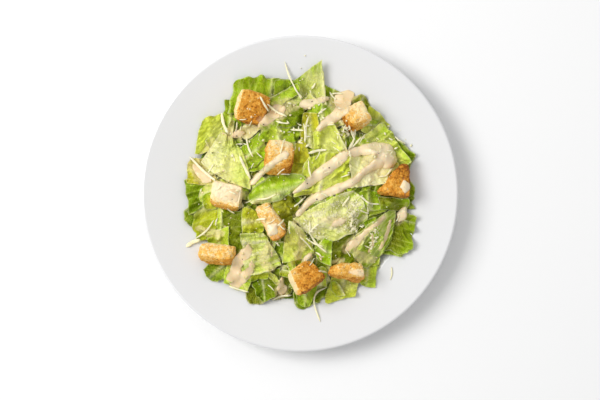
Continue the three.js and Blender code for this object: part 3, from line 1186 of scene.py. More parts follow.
def leaf_tone(leaf, grid, crest, height, romaine, seed):
    """A leaf's colour at each point, and how strongly its veins show there.

    It goes from the inner to the outer colour by where it is on the leaf. The rib and the cut
    edges are cream, the edges partly as a painted highlight. Crests carry a painted highlight and
    the dips between them painted shade, and what stands proud is painted lighter and what lies low
    darker. Dressing smears it in strokes, partly as a painted sheen, and films it over.
    """
    x, y = grid.place()
    cream, pale, milky_and_sheen, glazed, inner, outer = (
        np.array(getattr(romaine, name)[:])
        for name in ("cream", "pale", "milky_and_sheen", "glazed", leaf.inner, leaf.outer)
    )
    base, left, right, end = leaf.green
    share = base * (1 - 0.5 * grid.tip)
    share = share + left * ease(-0.2, 1, -grid.u) + right * ease(-0.2, 1, grid.u)
    share = share + end * ease(-0.1, 1, grid.v) + 0.12 * ripple(x, y, 18, seed + 4)
    tone = blended(inner, outer, np.clip(share, 0, 1)[..., None])
    tone = blended(tone, cream, (grid.rib * (0.75 - 0.45 * grid.tip))[..., None])
    # Cut edges go cream: partly their own paleness and partly a painted highlight along the edge.
    tone = blended(tone, cream, 0.5 * ease(0.94, 1.0, grid.edge)[..., None])

    # Painted highlight on the crests, and painted shade in the dips between them.
    crest_highlight = (0.55 * leaf.ridges * ease(0.70, 1.0, crest))[..., None]
    tone = blended(tone, blended(pale, milky_and_sheen, leaf.film), crest_highlight)
    tone = tone * (1 - 0.30 * leaf.ridges * ease(0.45, -0.3, crest))[..., None]
    # Painted light and shade: what stands proud of its surroundings is lighter, what lies low is
    # darker.
    proud = np.clip((height - averaged(height, 40)) / 0.7, -1, 1)
    tone = tone * (1 + 0.05 * ripple(x, y, 9, seed + 6) + 0.12 * proud)[..., None]

    # Smears of dressing in strokes, partly a painted sheen.
    strokes = ease(-0.4, 1.1, ripple(grid.across, 0.3 * grid.along, 6, seed + 12, 5))
    tone = blended(tone, milky_and_sheen, leaf.film * strokes[..., None])
    cover = film.at(x, y)
    cover = ease(0, 0.2, cover) * ease(0.2, 0.85, cover + 0.3 * ripple(x, y, 6, seed + 15))
    cover = 0.6 * cover[..., None]
    tone = blended(tone, glazed, cover)
    veined = leaf.veined * (1 - 0.7 * cover)
    return np.clip(np.concatenate([tone, veined], -1), 0, 1)


def leaf_sheet(leaf, heap, romaine, step, seed):
    """A closed leaf, laid on the heap.

    Its height is the heap's own, smoothed as if by a stiff sheet, plus the lift of
    its corners, the cup (u squared), slow crumples and the waves of its edges. Where
    that would sink into the heap it is pushed up on to it. Its relief lies on top.
    """
    grid = LeafGrid(leaf, step)
    waves = ruffle_edges(leaf, grid, seed)
    crest = 1 - np.abs(ripple(grid.across, 0.14 * grid.along, 7.5, seed + 13, 5))
    relief, veins = puckers(leaf, grid, crest, romaine.vein_spacing / MM, seed)

    x, y = grid.place()
    right, tip = grid.right, grid.tip
    near_corner = (1 - right) * (1 - tip), right * (1 - tip), right * tip, (1 - right) * tip
    lean = sum(lift * near**1.4 for lift, near in zip(leaf.lift, near_corner))
    bend = leaf.cup * (grid.u**2 - 0.4)
    shape = lean + bend + leaf.crumple * ripple(x, y, 30, seed + 3) + waves
    shape = shape - np.percentile(shape, 22)
    ground = heap.at(x, y)
    stiff = averaged(ground, int(0.9 * max(ground.shape)))
    height = upper_of(stiff + shape, ground + 0.35, 0.9) + relief

    thickness = romaine.thickness / MM * (1 + 1.8 * grid.rib * (1 - 0.6 * tip))
    top = np.stack([x, y, height + thickness], -1)
    bottom = np.stack([x, y, height], -1)
    heap.lay_sheet(top)

    def both(values):
        """The same values for the upper and the lower grid."""
        return np.concatenate([values.reshape(-1, values.shape[-1])] * 2)

    vertices = np.concatenate([top.reshape(-1, 3), bottom.reshape(-1, 3)])
    extras = {
        "leaf_colour": both(leaf_tone(leaf, grid, crest, height, romaine, seed)),
        "Blade": both(np.stack([grid.across / 10, grid.along / 10 + seed], -1)),
        "Veins": both(veins),
    }
    return vertices, [shell_faces(*x.shape)], extras


def heading(angle):
    """Steps of 1 mm forward and to the left, for a way to face."""
    forward = np.array([math.cos(angle), math.sin(angle)])
    return forward, np.array([-forward[1], forward[0]])


def under_leaves(count):
    """Small dark pieces on a sunflower spiral, each turned its own way, that fill
    the heap below the leaves on show."""
    rng = np.random.default_rng(11)
    greens = [("leafy", "deep"), ("olive", "deep"), ("fresh", "leafy"), ("deep", "dark")]
    leaves = []
    for i in range(count):
        angle = math.radians(GOLDEN_TURN * i)
        centre = 87 * math.sqrt((i + 0.5) / count) * heading(angle)[0]
        forward, left = heading(angle + rng.uniform(-1.2, 1.2))
        forward = forward * rng.uniform(13, 19)
        left = left * rng.uniform(10, 15)
        corners = [
            centre - forward + left,
            centre - forward - left,
            centre + forward - left * rng.uniform(0.7, 1.1),
            centre + forward + left * rng.uniform(0.7, 1.1),
        ]
        leaves.append(
            Leaf(
                corners,
                *greens[rng.integers(len(greens))],
                green=(0.5, 0.8, 0.8, 0.8),
                rounding=(0.2, 0.7),
                ruffle=rng.uniform(1.5, 3.2, 3),
                lift=rng.uniform(0, 3, 4),
                cup=rng.uniform(-1, 3),
                blister=0.9,
            )
        )
    return leaves


def scraps(count):
    """Narrow strips and small chips of leaf, strewn evenly over the heap."""
    rng = np.random.default_rng(29)
    greens = [
        ("pale", "lime"),
        ("cream", "pale"),
        ("lime", "fresh"),
        ("fresh", "leafy"),
        ("leafy", "deep"),
        ("olive", "leafy"),
    ]
    leaves = []
    for i in range(count):
        angle = math.radians(GOLDEN_TURN * i + 40)
        centre = 82 * math.sqrt((i + 0.5) / count) * heading(angle)[0] + rng.uniform(-4, 4, 2)
        forward, left = heading(rng.uniform(0, 2 * math.pi))
        forward = forward * rng.uniform(6, 15)
        left = left * rng.uniform(2.5, 7)
        skew = forward * rng.uniform(-0.3, 0.3)
        corners = [
            centre - forward + left,
            centre - forward - left + skew,
            centre + forward - left * rng.uniform(0.5, 1.1),
            centre + forward + left * rng.uniform(0.5, 1.1) + skew,
        ]
        leaves.append(
            Leaf(
                corners,
                *greens[rng.integers(len(greens))],
                rib=(rng.uniform(-1.5, 1.5), 1.5),
                rounding=(rng.uniform(0, 0.6), rng.uniform(0, 0.8)),
                ruffle=rng.uniform(0.4, 2.0, 3),
                lift=rng.uniform(0, 4, 4),
                cup=rng.uniform(-2, 3),
                blister=rng.uniform(0.3, 0.9),
                crumple=rng.uniform(0.6, 1.4),
            )
        )
    return leaves


# What has been laid on the plate so far. The operators build it up in order.
heap = HeightMap(level_ground)


# ---------------------------------------------------------------------------
# Croutons, dressing, cheese and pepper

# For each crouton: how toasted it is from 0 to 1, and how much more or less toasted it is towards
# the sides that face some ways. Those extras are partly real browning and partly painted light and
# shade: mostly paler on the sides that face the lamps on the left and far side, and darker on the
# sides that face the near side.
TOAST_AND_FACE_SHADE = [
    (0.80, [((-1, 0.2, 0), -0.65), ((0.3, 0.9, 0), -0.15), ((0.2, -1, 0), 0.25)]),
    (0.32, [((0.3, 1, 0), -0.35), ((-1, -0.2, 0), 0.35), ((1, -0.6, 0), 0.85)]),
    (0.26, [((0.6, 0.8, 0), -0.3), ((-0.7, -0.8, 0), 0.9)]),
    (0.85, [((0.9, -0.5, 0), 0.25), ((-1, 0.6, 0), -0.2), ((0.2, 1, 0), 0.45)]),
    (-0.10, [((-0.3, -1, 0), 0.75)]),
    (0.25, [((-0.5, 1, 0), -0.05), ((0.5, -1, 0), 0.65)]),
    (0.34, [((-0.2, 1, 0), -0.2), ((0.2, -1, 0), 0.45)]),
    (0.86, [((-1, 0.1, 0), -1.3), ((0.6, -0.9, 0), 0.2)]),
    (0.42, [((1, 0.1, 0), -0.3), ((-1, 0.1, 0), 0.3), ((0.1, -1, 0), 0.45)]),
]

RUN_BASE = 0.4  # least height of a run of dressing, in mm
POOL_BASE = 0.2  # and of a pool
POOL_SHARE = 0.25  # how low a pool is beside a run as wide

# Runs of dressing: points in plan with the run's width at each.
DRESSING_RUNS = [
    [(40, 34, 7), (30, 26, 8.5), (15, 15, 8.5), (5, 7, 6), (-6, 0, 2)],
    [(38, 33, 6), (48, 35, 8), (58, 37, 9), (67, 37, 12), (73, 33, 14), (74, 26, 11), (71, 21, 7)],
    [(72, 29, 9), (65, 25, 8), (58, 21, 6), (52, 17, 5), (46, 11, 5.5), (36, 6, 6.5), (22, 0, 6.5),
     (10, -5, 6), (3, -12, 5), (-3, -19, 4)],
    [(-9, 33, 6), (-16, 29, 5), (-25, 22, 5), (-34, 15, 5), (-41, 7, 4)],
    [(-1, 73, 8), (6, 75, 7), (14, 77, 6), (25, 81, 3)],
    [(40, 76, 10), (34, 69, 10), (28, 63, 8), (20, 58, 6), (14, 51, 4)],
    [(89, -11, 5), (86, -18, 8), (83, -24, 6)],
    [(86, 11, 4), (87.5, 6, 9), (87, 0, 6)],
    [(64, 35, 5), (68, 32, 10), (71, 29, 10), (73, 25, 7)],
    [(-27, -26, 8), (-22.5, -30, 13), (-18.5, -33, 10)],
    [(10, -50, 4), (3, -56, 4)],
    [(26, -27, 3), (32, -24, 6), (38, -22, 3)],
]

# Low pools of dressing, given the same way.
DRESSING_POOLS = [
    [(-12, 72, 7), (-18, 69, 11), (-24, 64, 8), (-29, 59, 6), (-35, 55, 4)],
    [(-46, 51, 3), (-51, 50, 6), (-57, 48, 5)],
    [(-43, -42, 2), (-44, -48, 7), (-49, -54, 9), (-53, -60, 8), (-54.5, -67, 11),
     (-53.5, -74, 15), (-52, -80, 13)],
    [(-40, -56, 2), (-41, -62, 5), (-44, -67, 7), (-49, -72, 9), (-51, -77, 10)],
    [(-15, -70, 2), (-15.5, -76, 5), (-15.5, -82, 9), (-16, -86, 6)],
    [(-90, 25, 4), (-85, 19, 7), (-79, 13, 8), (-74, 10, 5)],
    [(-62, 0, 4), (-57, -1, 10), (-53, -3, 9), (-53, -8, 5)],
    [(76, -22, 2), (73, -34, 3), (67, -47, 2.5)],
    [(38, -48, 3), (43, -43, 6.5), (49, -38, 5), (56, -31, 3.5), (63, -26, 3.5), (71, -19, 2.5)],
    [(60, -34, 2), (61, -42, 2.5), (57, -50, 2)],
    [(46, 85, 7), (40, 82, 11), (35, 76, 15), (33, 70, 13)],
]

# Films of dressing that only tint the food, given the same way.
DRESSING_FILMS = [
    [(-8, 75, 10), (-16, 71, 17), (-23, 65, 14), (-31, 58, 12), (-38, 53, 9), (-46, 50, 12),
     (-58, 50, 9)],
    [(-93, 27, 9), (-85, 19, 14), (-79, 13, 15), (-73, 9, 9)],
    [(-72, 6, 10), (-61, 2, 17), (-50, -2, 12)],
    [(38, -47, 7), (45, -41, 11), (56, -32, 6), (70, -20, 5)],
    [(42, -65, 4), (49, -66, 7), (55, -68, 5)],
    [(28, -57, 4), (35, -56, 5)],
    [(46, -48, 5), (53, -54, 10), (61, -56, 6)],
    [(-86, -29, 5), (-77, -33, 8), (-66, -34, 7)],
    [(32, 74, 16), (38, 82, 14), (46, 84, 8)],
    [(20, -22, 5), (28, -23, 8), (33, -24, 5)],
    [(-4, -24, 5), (2, -40, 6), (-2, -52, 7)],
    [(-26, -44, 7), (-30, -56, 9), (-24, -64, 6)],
    [(60, 30, 12), (66, 20, 14), (56, 26, 10)],
    [(-16, -78, 7), (-14, -86, 9)],
    [(-84, 30, 6), (-74, 44, 6)],
]

# Long shreds of cheese: points in plan, and the shred's width.
LONG_SHREDS = [
    ([(-13, 111), (-8, 96), (1, 79)], 1.4),
    ([(-66, 68), (-60, 50)], 2.6),
    ([(-33, 80), (-26, 68)], 1.5),
    ([(-27, 74), (-11, 64)], 1.6),
    ([(-45, 47), (-39, 30)], 1.5),
    ([(-50, 31), (-46, 22), (-41, 12)], 2.2),
    ([(-93, 31), (-70, 10)], 1.8),
    ([(7, 64), (6, 44)], 1.6),
    ([(3, 58), (4, 42)], 1.4),
    ([(7, 33), (22, 36)], 2.2),
    ([(-8, 53), (3, 52)], 1.5),
    ([(-20, 60), (-9, 58)], 1.4),
    ([(25, 86), (31, 79)], 1.4),
    ([(13, 93), (10, 88)], 1.8),
    ([(-5, 89), (2, 80)], 1.3),
    ([(46, 52), (40, 36)], 1.9),
    ([(51, 47), (43, 38)], 1.4),
    ([(80, 48), (89, 42)], 1.2),
    ([(77, 21), (72, 15), (66, 14)], 1.3),
    ([(50, -2), (57, -8), (66, -9)], 1.4),
    ([(41, -3), (35, -11)], 1.8),
    ([(-5, -11), (3, -4)], 1.4),
    ([(16, -25), (7, -33)], 1.4),
    ([(8, -33), (22, -49)], 1.6),
    ([(5, -37), (19, -44)], 1.4),
    ([(0, -36), (10, -47)], 1.2),
    ([(13, -49), (18, -53)], 1.4),
    ([(-60, -78), (-43, -83)], 1.4),
    ([(-24, -90), (-7, -86)], 1.6),
    ([(23, -79), (14, -84), (12, -93), (17, -108)], 1.4),
    ([(77, -62), (76, -73)], 1.1),
    ([(-36, -22), (-28, -21)], 1.5),
    ([(7, 27), (9, 14)], 1.4),
    ([(22, 71), (15, 66)], 1.4),
    ([(35, 56), (41, 51)], 1.3),
    ([(38, 57), (36, 50)], 1.2),
    ([(34, 52), (42, 49)], 1.3),
    ([(-72, -22), (-88, -38)], 1.3),
    ([(-53, 60), (-54, 52)], 1.3),
    ([(-96, -45), (-84, -39)], 3.2),
    ([(27, 84), (36, 84)], 1.2),
    ([(-36, -5), (-20, -1)], 1.2),
]

# Where short curls of cheese lie thickest: centre in plan, spread each way, and how many.
CURL_PATCHES = [
    ((44, -18), (2.6, 6.5), 34),
    ((61, -36), (1.6, 4.5), 13),
    ((46, -28), (5, 2), 10),
    ((8, -26), (4, 4), 8),
    ((38, 50), (4, 3), 10),
    ((68, 40), (8, 8), 12),
    ((4, 60), (9, 10), 12),
    ((-40, 44), (8, 8), 8),
    ((-4, 50), (10, 8), 12),
    ((-60, 16), (10, 8), 5),
]

# Where fine crumbs lie thickest: centre in plan, spread each way, and how many.
CRUMB_PATCHES = [
    ((46, -10), (3, 4), 80),
    ((42, -19), (3, 4), 90),
    ((39, -27), (3, 3), 50),
    ((62, -35), (2, 5), 46),
    ((8, -22), (4, 5), 30),
    ((28, -12), (8, 5), 46),
    ((36, -6), (5, 4), 26),
    ((45, -28), (5, 3), 30),
    ((12, -34), (5, 4), 24),
    ((5, 88), (9, 8), 30),
    ((-60, 38), (9, 7), 20),
    ((36, 50), (5, 4), 30),
    ((70, 44), (9, 9), 24),
]

# Pepper grains that stand out, in plan.
PEPPER_GRAINS = [(-73, 34), (10, 77), (6, 8), (14, -5), (-30, 57), (-53, 48), (24, 21)]


def pit_depth(p, pore, seed):
    """How deep the crumb's pores are at points in space, 0 to 1. Every cell of a
    cubic grid holds one round pore at a random place in it and of a random size, and
    the depth is a smooth hollow of the distance to the nearest."""
    deep = np.zeros(len(p))
    for size, most in ((2.6 * pore, 1.0), (1.5 * pore, 0.6)):
        cell = np.floor(p / size)
        for offset in np.ndindex(3, 3, 3):
            c = cell + offset - np.array([1, 1, 1])
            mixed = c @ np.array([12.9898, 78.233, 37.719]) + seed
            random = np.stack([np.sin(mixed * k) * 4375.85 % 1 for k in (1, 1.7, 2.3, 3.1)], 1)
            away = np.linalg.norm(p - (c + random[:, :3]) * size, axis=1) / size
            wide = 0.16 + 0.22 * random[:, 3]
            deep = np.maximum(deep, most * ease(1.25, 0.35, away / wide))
    return deep


def crumb_skin(piece, pore, n):
    """Shapes a bread cube's skin: every point moves along its normal by a slow swell
    and a finer one, into the pores, and in where an edge is chipped. An edge is where
    an averaged copy of the skin lies deeper. Gives the points as they were, their
    normals, how deep in a pore and how near an edge each is."""
    mesh = piece.data
    p = points_of(mesh) / MM
    out = points_of(mesh, "normal")
    depth = pit_depth(p, pore, 40 * n)
    edge = ease(0.1, 0.6, ((p - averaged_points(piece, 40) / MM) * out).sum(1))
    s, t = p[:, 0] + p[:, 2], p[:, 1] - p[:, 2]
    chips = np.clip(ripple(s, t, 5, n + 27), 0, 1) * edge
    swell = 0.5 * ripple(s, t, 14, n + 7) + 0.28 * ripple(t, s, 5, n + 17)
    moved = p + out * (swell - 0.6 * depth - 0.9 * chips - 0.1)[:, None]
    mesh.vertices.foreach_set("co", (moved * MM).astype(np.float32).ravel())
    mesh.update()
    heap.lay_points(moved)
    return p, out, depth, edge


def toast_and_shading(p, out, depth, edge, n):
    """How toasted and shaded, how deep in a pore and how glazed a bread cube is at each point.

    Its own level of browning gains its extras by how far a point faces and lies their way, and
    more along the edges, unevenly. The extras by facing are partly real browning and partly
    painted light and shade. Dressing glazes upward faces, the toasted ones less."""
    level, sides = TOAST_AND_FACE_SHADE[n]
    toast = np.full(len(p), level)
    off = (p - p.mean(0)) / (np.ptp(p, 0) / 2)
    # Painted light and shade in part: faces towards the lamps on the left and far side mostly come
    # out paler, and faces towards the near side darker.
    for way, extra in sides:
        way = np.array(way) / np.linalg.norm(way)
        facing = 0.5 * (out @ way) + 0.7 * (off @ way)
        toast = toast + extra * np.clip(facing, 0, 1) ** 1.5
    s, t = p[:, 0] + p[:, 2], p[:, 1] - p[:, 2]
    browned = (0.5 - 0.2 * np.clip(toast, 0, 1)) * edge
    toast = toast + browned * (0.6 + 0.5 * ripple(t, s, 9, n + 37))
    cover = film.at(p[:, 0], p[:, 1]) * ease(0.1, 0.7, out[:, 2])
    cover = cover * (1 - 0.6 * np.clip(toast, 0, 1))
    return np.stack([toast, np.clip(depth, 0, 1), cover, np.ones(len(p))], 1)


def coverage(runs, spread, x, y):
    """How far runs of dressing cover spots in plan: 1 along each run, fading to 0
    where the distance from it reaches spread times half its width."""
    covered = 0 * x
    for run in runs:
        px, py, width = smooth_path(run, 2.0).T
        away = np.hypot(x[..., None] - px, y[..., None] - py) / (width / 2)
        covered = np.maximum(covered, ease(spread, 0.4 * spread, away.min(-1)))
    return covered


def dressed(x, y):
    """How far a film of dressing covers spots in plan, also round the thick runs."""
    thick = coverage(DRESSING_RUNS + DRESSING_POOLS, 1.8, x, y)
    return np.maximum(coverage(DRESSING_FILMS, 1.4, x, y), 0.55 * thick)


# The film's cover in plan, where a height map holds a share in place of a height.
film = HeightMap(dressed)


def ribbon(run, heap, under, height, base, seed):
    """A run of dressing: along a smooth curve, a section that is a low half oval of
    uneven width and height. What is under it is the bare heap, a softened one that
    its edges lie on, and a bridged one that its middle spans the hollows of. Its
    height is a share of its width over a base in mm."""
    bare, soft, bridged = under
    step = 0.7
    path = smooth_path(run, step)
    width = path[:, 2]
    n = len(path)
    at = np.arange(n)
    width = 1.12 * np.maximum(width, 1.2) * (1 + 0.10 * ripple(at, 0 * at, 14, seed))
    to_end = np.minimum(at, n - 1 - at) * step
    round_off = np.sqrt(np.clip(1 - (1 - to_end / width * 2), 0, 1))
    width = width * np.clip(round_off, 0.12, 1)
    c = np.sin(np.linspace(-math.pi / 2, math.pi / 2, 15))
    px, py = beside(path, c * width[:, None] / 2)
    wobble = 0.35 * ripple(px, py, 5, seed + 1) * c * c
    px, py = px + wobble, py + wobble
    peak = (height * width + base) * (1 + 0.12 * ripple(at, 0 * at, 10, seed + 2))
    arch = np.clip(1 - c * c, 0, 1) ** 0.8
    ground = upper_of(soft.at(px, py), bare.at(px, py) - 0.6, 0.6)
    over = np.clip(bridged.at(px, py) - ground, 0, 3)
    z = ground + arch * (peak[:, None] + over) - 0.15
    top = np.stack([px, py, z], -1)
    bottom = np.stack([px, py, ground - 1.1 - 0.2 * arch], -1)
    heap.lay_sheet(top)
    vertices = np.concatenate([top.reshape(-1, 3), bottom.reshape(-1, 3)])
    return vertices, [shell_faces(n, len(c))[:, ::-1]]


def strewn(count, radius, rng):
    """Spots in plan, spread evenly at random over a disc."""
    r = radius * np.sqrt(rng.uniform(size=count))
    a = rng.uniform(0, 2 * math.pi, count)
    return np.stack([r * np.cos(a), r * np.sin(a)], 1)


def any_way(low, high, rng):
    """A step in plan any way round, between two lengths."""
    turn, reach = rng.uniform(0, 2 * math.pi), rng.uniform(low, high)
    return reach * heading(turn)[0]


def shred(points, width, heap, rng):
    """A grated shred: an uneven flat oval section carried along a bowed line, which
    bridges hollows and rests on the high spots."""
    points = np.array(points, float)
    if len(points) == 2:
        ends = points[1] - points[0]
        bow = np.array([-ends[1], ends[0]]) * rng.uniform(-0.09, 0.09)
        points = np.array([points[0], points.mean(0) + bow, points[1]])
    path = smooth_path(points, 1.2)
    n = len(path)
    ground = heap.at(*path.T)
    ramp = np.linspace(0, 1, n)
    line = averaged(ground[:, None], 3 * n)[:, 0]
    line = line + max(0, float(np.percentile(ground - line, 80)))
    z = upper_of(line + rng.uniform(-0.6, 0.8) * (ramp - 0.5), ground + 0.1, 0.8)
    taper = np.sqrt(np.clip(np.minimum(ramp, 1 - ramp) * 7, 0.12, 1))
    uneven = 1 + 0.18 * ripple(ramp * 10, 0 * ramp, 4, int(rng.integers(999)))
    half = width / 2 * taper * uneven
    thick = 0.22 * min(width, 2.2) * taper
    corners = 8
    angle = np.linspace(0, 2 * math.pi, corners, endpoint=False) + rng.uniform(0, 0.6)
    flat = np.sign(np.cos(angle)) * np.abs(np.cos(angle)) ** 0.6
    rise = np.sign(np.sin(angle)) * np.abs(np.sin(angle)) ** 0.6
    px, py = beside(path, flat * half[:, None])
    pz = z[:, None] + thick[:, None] * (1 + rise)
    rings = np.stack([px, py, pz], -1)
    heap.lay_points(rings)
    ends = np.stack([rings[0].mean(0), rings[-1].mean(0)])
    vertices = np.concatenate([rings.reshape(-1, 3), ends])
    return vertices, tube_faces(n, corners)


def grains(centres, sizes, heap, rng):
    """Small broken grains: each is a six-sided, three-ringed lump with every point
    pushed in or out at random, resting on the heap."""
    count = len(centres)
    turn = np.linspace(0, 2 * math.pi, 6, endpoint=False)
    tilt = np.array([-0.75, 0.0, 0.75])[:, None]
    rings = np.cos(tilt) * np.cos(turn), np.cos(tilt) * np.sin(turn), np.sin(tilt) + 0 * turn
    unit = np.concatenate([np.stack(rings, -1).reshape(-1, 3), [[0, 0, -1], [0, 0, 1]]])
    lumps = unit * rng.uniform(0.65, 1.15, (count, len(unit), 1))
    lumps = lumps * (sizes[:, None] * rng.uniform(0.6, 1.3, (count, 3)))[:, None]
    ground = heap.at(centres[:, 0], centres[:, 1])
    base = np.stack([centres[:, 0], centres[:, 1], ground + 0.3 * sizes], 1)
    vertices = (lumps + base[:, None]).reshape(-1, 3)
    faces = []
    for group in tube_faces(len(tilt), len(turn)):
        shifted = group + (np.arange(count) * len(unit))[:, None, None]
        faces.append(shifted.reshape(-1, group.shape[1]))
    return vertices, faces


def need(name):
    """Stops an operator whose earlier piece hasn't been made."""
    if name not in bpy.data.objects:
        raise RuntimeError(f"{name} has to be made first")


def softbox(name, place, size, power, tint):
    """A square lamp that faces the middle of the table."""
    lamp = bpy.data.lights.new(name, "AREA")
    lamp.shape = "SQUARE"
    lamp.size = size
    lamp.energy = power
    lamp.color = tint
    holder = placed(name, lamp)
    holder.location = place
    towards = -holder.location.normalized()
    holder.rotation_euler = towards.to_track_quat("-Z", "Y").to_euler()


# ---------------------------------------------------------------------------
# Operators


class SALAD_OT_plate(bpy.types.Operator):
    """Turn the plate and start the heap's height map on it"""

    bl_idname = "salad.plate"
    bl_label = "Plate"

    def execute(self, context):
        plate = context.scene.salad_plate
        batch = Batch()
        batch.add(*turned(plate_profile(plate), 300))
        batch.piece("dinner_plate", porcelain(plate), "porcelain", ["plate"])
        heap.z = HeightMap(lambda x, y: plate_top(np.hypot(x, y), plate) + BED_GAP).z
        return {"FINISHED"}


class SALAD_OT_core(bpy.types.Operator):
    """Make the crushed leaves at the bottom of the heap"""

    bl_idname = "salad.core"
    bl_label = "Bottom of the heap"

    def execute(self, context):
        need("dinner_plate")
        plate = context.scene.salad_plate
        romaine = context.scene.salad_romaine
        below_dome = 9
        angle = np.linspace(0, 2 * math.pi, 180, endpoint=False)
        share = np.linspace(0, 1, 60)[1:, None]
        r = share * (87 + 2.5 * ripple(90 * np.cos(angle), 90 * np.sin(angle), 40, 3))
        x, y = r * np.cos(angle), r * np.sin(angle)
        bed = plate_top(np.hypot(x, y), plate) + BED_GAP
        crushed = 1.4 * ripple(x, y, 16, 4) + 0.8 * ripple(x, y, 7, 5)
        full = dome(x, y) - below_dome + crushed
        top = np.maximum(bed + 0.8, bed + (full - bed) * ease(0.0, 0.1, 1 - share))
        upper = np.stack([x, y, top], -1)
        lower = np.stack([x, y, bed], -1)[::-1]
        rings = np.concatenate([upper, lower])
        ends = [[0, 0, float(top[0].mean())], [0, 0, float(bed[0].mean())]]
        vertices = np.concatenate([rings.reshape(-1, 3), ends])
        faces = [group[:, ::-1] for group in tube_faces(len(rings), len(angle))]
        batch = Batch()
        batch.add(vertices, faces)
        batch.piece("romaine_core", shaded_leaf(romaine), "romaine", ["romaine"])
        heap.lay_sheet(upper)
        return {"FINISHED"}


class SALAD_OT_leaves(bpy.types.Operator):
    """Lay every piece of romaine on the heap, from the lowest up"""

    bl_idname = "salad.leaves"
    bl_label = "Leaves"

    def execute(self, context):
        need("romaine_core")
        romaine = context.scene.salad_romaine
        step = romaine.mesh_step / MM
        wet = romaine_blade()
        layers = [
            ("leaves_under", under_leaves(romaine.underleaves), 2.0 * step),
            ("leaves_outer", OUTER_LEAVES, step),
            ("leaves_scraps", scraps(romaine.scraps), step),
            ("leaves_middle", MIDDLE_LEAVES, step),
            ("leaves_top", TOP_LEAVES, step),
        ]
        seed = 100
        for name, leaves, spacing in layers:
            batch = Batch()
            for leaf in leaves:
                seed += 10
                vertices, faces, extras = leaf_sheet(leaf, heap, romaine, spacing, seed)
                batch.add(vertices, faces, **extras)
            batch.piece(name, wet, "romaine", ["romaine"])
        return {"FINISHED"}


class SALAD_OT_croutons(bpy.types.Operator):
    """Give each bread cube a porous, toasted surface, with painted light and shade on its faces"""

    bl_idname = "salad.croutons"
    bl_label = "Croutons"

    def execute(self, context):
        need("leaves_top")
        if len(CROUTONS) != len(TOAST_AND_FACE_SHADE):
            raise ValueError(f"{len(CROUTONS)} croutons, but {len(TOAST_AND_FACE_SHADE)} rows of toasting")
        crouton = context.scene.salad_crouton
        bread = toasted_bread(crouton)
        for n, node in enumerate(CROUTONS):
            name = f"bread_cube_{n + 1}"
            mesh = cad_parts[node].data.copy()
            mesh.name = name
            piece = placed(name, mesh)
            weld = piece.modifiers.new("Weld", "WELD")
            weld.merge_threshold = 0.00002
            voxelled(piece, crouton.mesh_step)
            skin = crumb_skin(piece, crouton.pore / MM, n)
            paint(piece.data, "toast", toast_and_shading(*skin, n))
            finish(piece, bread, [node])
        return {"FINISHED"}


class SALAD_OT_dressing(bpy.types.Operator):
    """Drizzle the dressing over the leaves and croutons"""

    bl_idname = "salad.dressing"
    bl_label = "Dressing"

    def execute(self, context):
        need("bread_cube_1")
        dressing = context.scene.salad_dressing
        bare = heap.softened(0)
        under = bare, heap.softened(7), heap.bridged(3, 9)
        batch = Batch()
        for n, run in enumerate(DRESSING_RUNS):
            batch.add(*ribbon(run, heap, under, dressing.height, RUN_BASE, 60 + 3 * n))
        low = POOL_SHARE * dressing.height
        for n, run in enumerate(DRESSING_POOLS):
            batch.add(*ribbon(run, heap, under, low, POOL_BASE, 360 + 3 * n))
        rng = np.random.default_rng(5)
        for n in range(dressing.drops):
            spot = strewn(1, 88, rng)[0]
            width = rng.uniform(1.2, 2.8)
            drop = [(*spot, width), (*(spot + any_way(0.6, 2.5, rng)), width * 0.8)]
            batch.add(*ribbon(drop, heap, under, dressing.height, RUN_BASE, 400 + n))
        piece = batch.joined("dressing")
        voxelled(piece, dressing.mesh_step)
        x, y, z = points_of(piece.data).T / MM
        depth, pooled = z - bare.at(x, y), coverage(DRESSING_POOLS, 1.2, x, y)
        paint(piece.data, "depth", np.stack([depth, pooled, 0 * depth, 0 * depth + 1], 1))
        finish(piece, creamy_dressing(dressing))
        return {"FINISHED"}


class SALAD_OT_cheese(bpy.types.Operator):
    """Scatter the grated cheese: long shreds, short ends and crumbs"""

    bl_idname = "salad.cheese"
    bl_label = "Cheese"

    def execute(self, context):
        need("dressing")
        cheese = context.scene.salad_cheese
        rng = np.random.default_rng(21)
        shreds = Batch()
        for points, width in LONG_SHREDS:
            shreds.add(*shred(points, width, heap, rng))
        for centre, spread, count in CURL_PATCHES:
            for start in rng.normal(centre, spread, (count, 2)):
                end = start + any_way(1.4, 4.2, rng)
                shreds.add(*shred([start, end], rng.uniform(0.9, 1.6), heap, rng))
        for _ in range(cheese.loose_shreds):
            start = strewn(1, 86, rng)[0]
            end = start + any_way(3, 9, rng)
            width = cheese.width / MM * rng.uniform(0.5, 1)
            shreds.add(*shred([start, end], width, heap, rng))
        material = hard_cheese(cheese)
        shreds.piece("cheese_shreds", material, "cheese")

        thick = [rng.normal(centre, spread, (count, 2)) for centre, spread, count in CRUMB_PATCHES]
        centres = np.concatenate([*thick, strewn(cheese.crumbs, 88, rng)])
        sizes = rng.uniform(0.22, 0.70, len(centres))
        crumbs = Batch()
        crumbs.add(*grains(centres, sizes, heap, rng))
        crumbs.piece("cheese_crumbs", material, "cheese")
        return {"FINISHED"}


class SALAD_OT_pepper(bpy.types.Operator):
    """Grind pepper over the salad"""

    bl_idname = "salad.pepper"
    bl_label = "Pepper"

    def execute(self, context):
        need("cheese_shreds")
        pepper = context.scene.salad_pepper
        rng = np.random.default_rng(33)
        spare = max(0, pepper.grains - len(PEPPER_GRAINS))
        centres = np.concatenate([np.array(PEPPER_GRAINS, float), strewn(spare, 84, rng)])
        sizes = rng.uniform(0.25, 0.5, len(centres))
        sizes[: len(PEPPER_GRAINS)] = 0.65
        batch = Batch()
        batch.add(*grains(centres, sizes, heap, rng))
        batch.piece("pepper", cracked_pepper(pepper), "pepper")
        return {"FINISHED"}


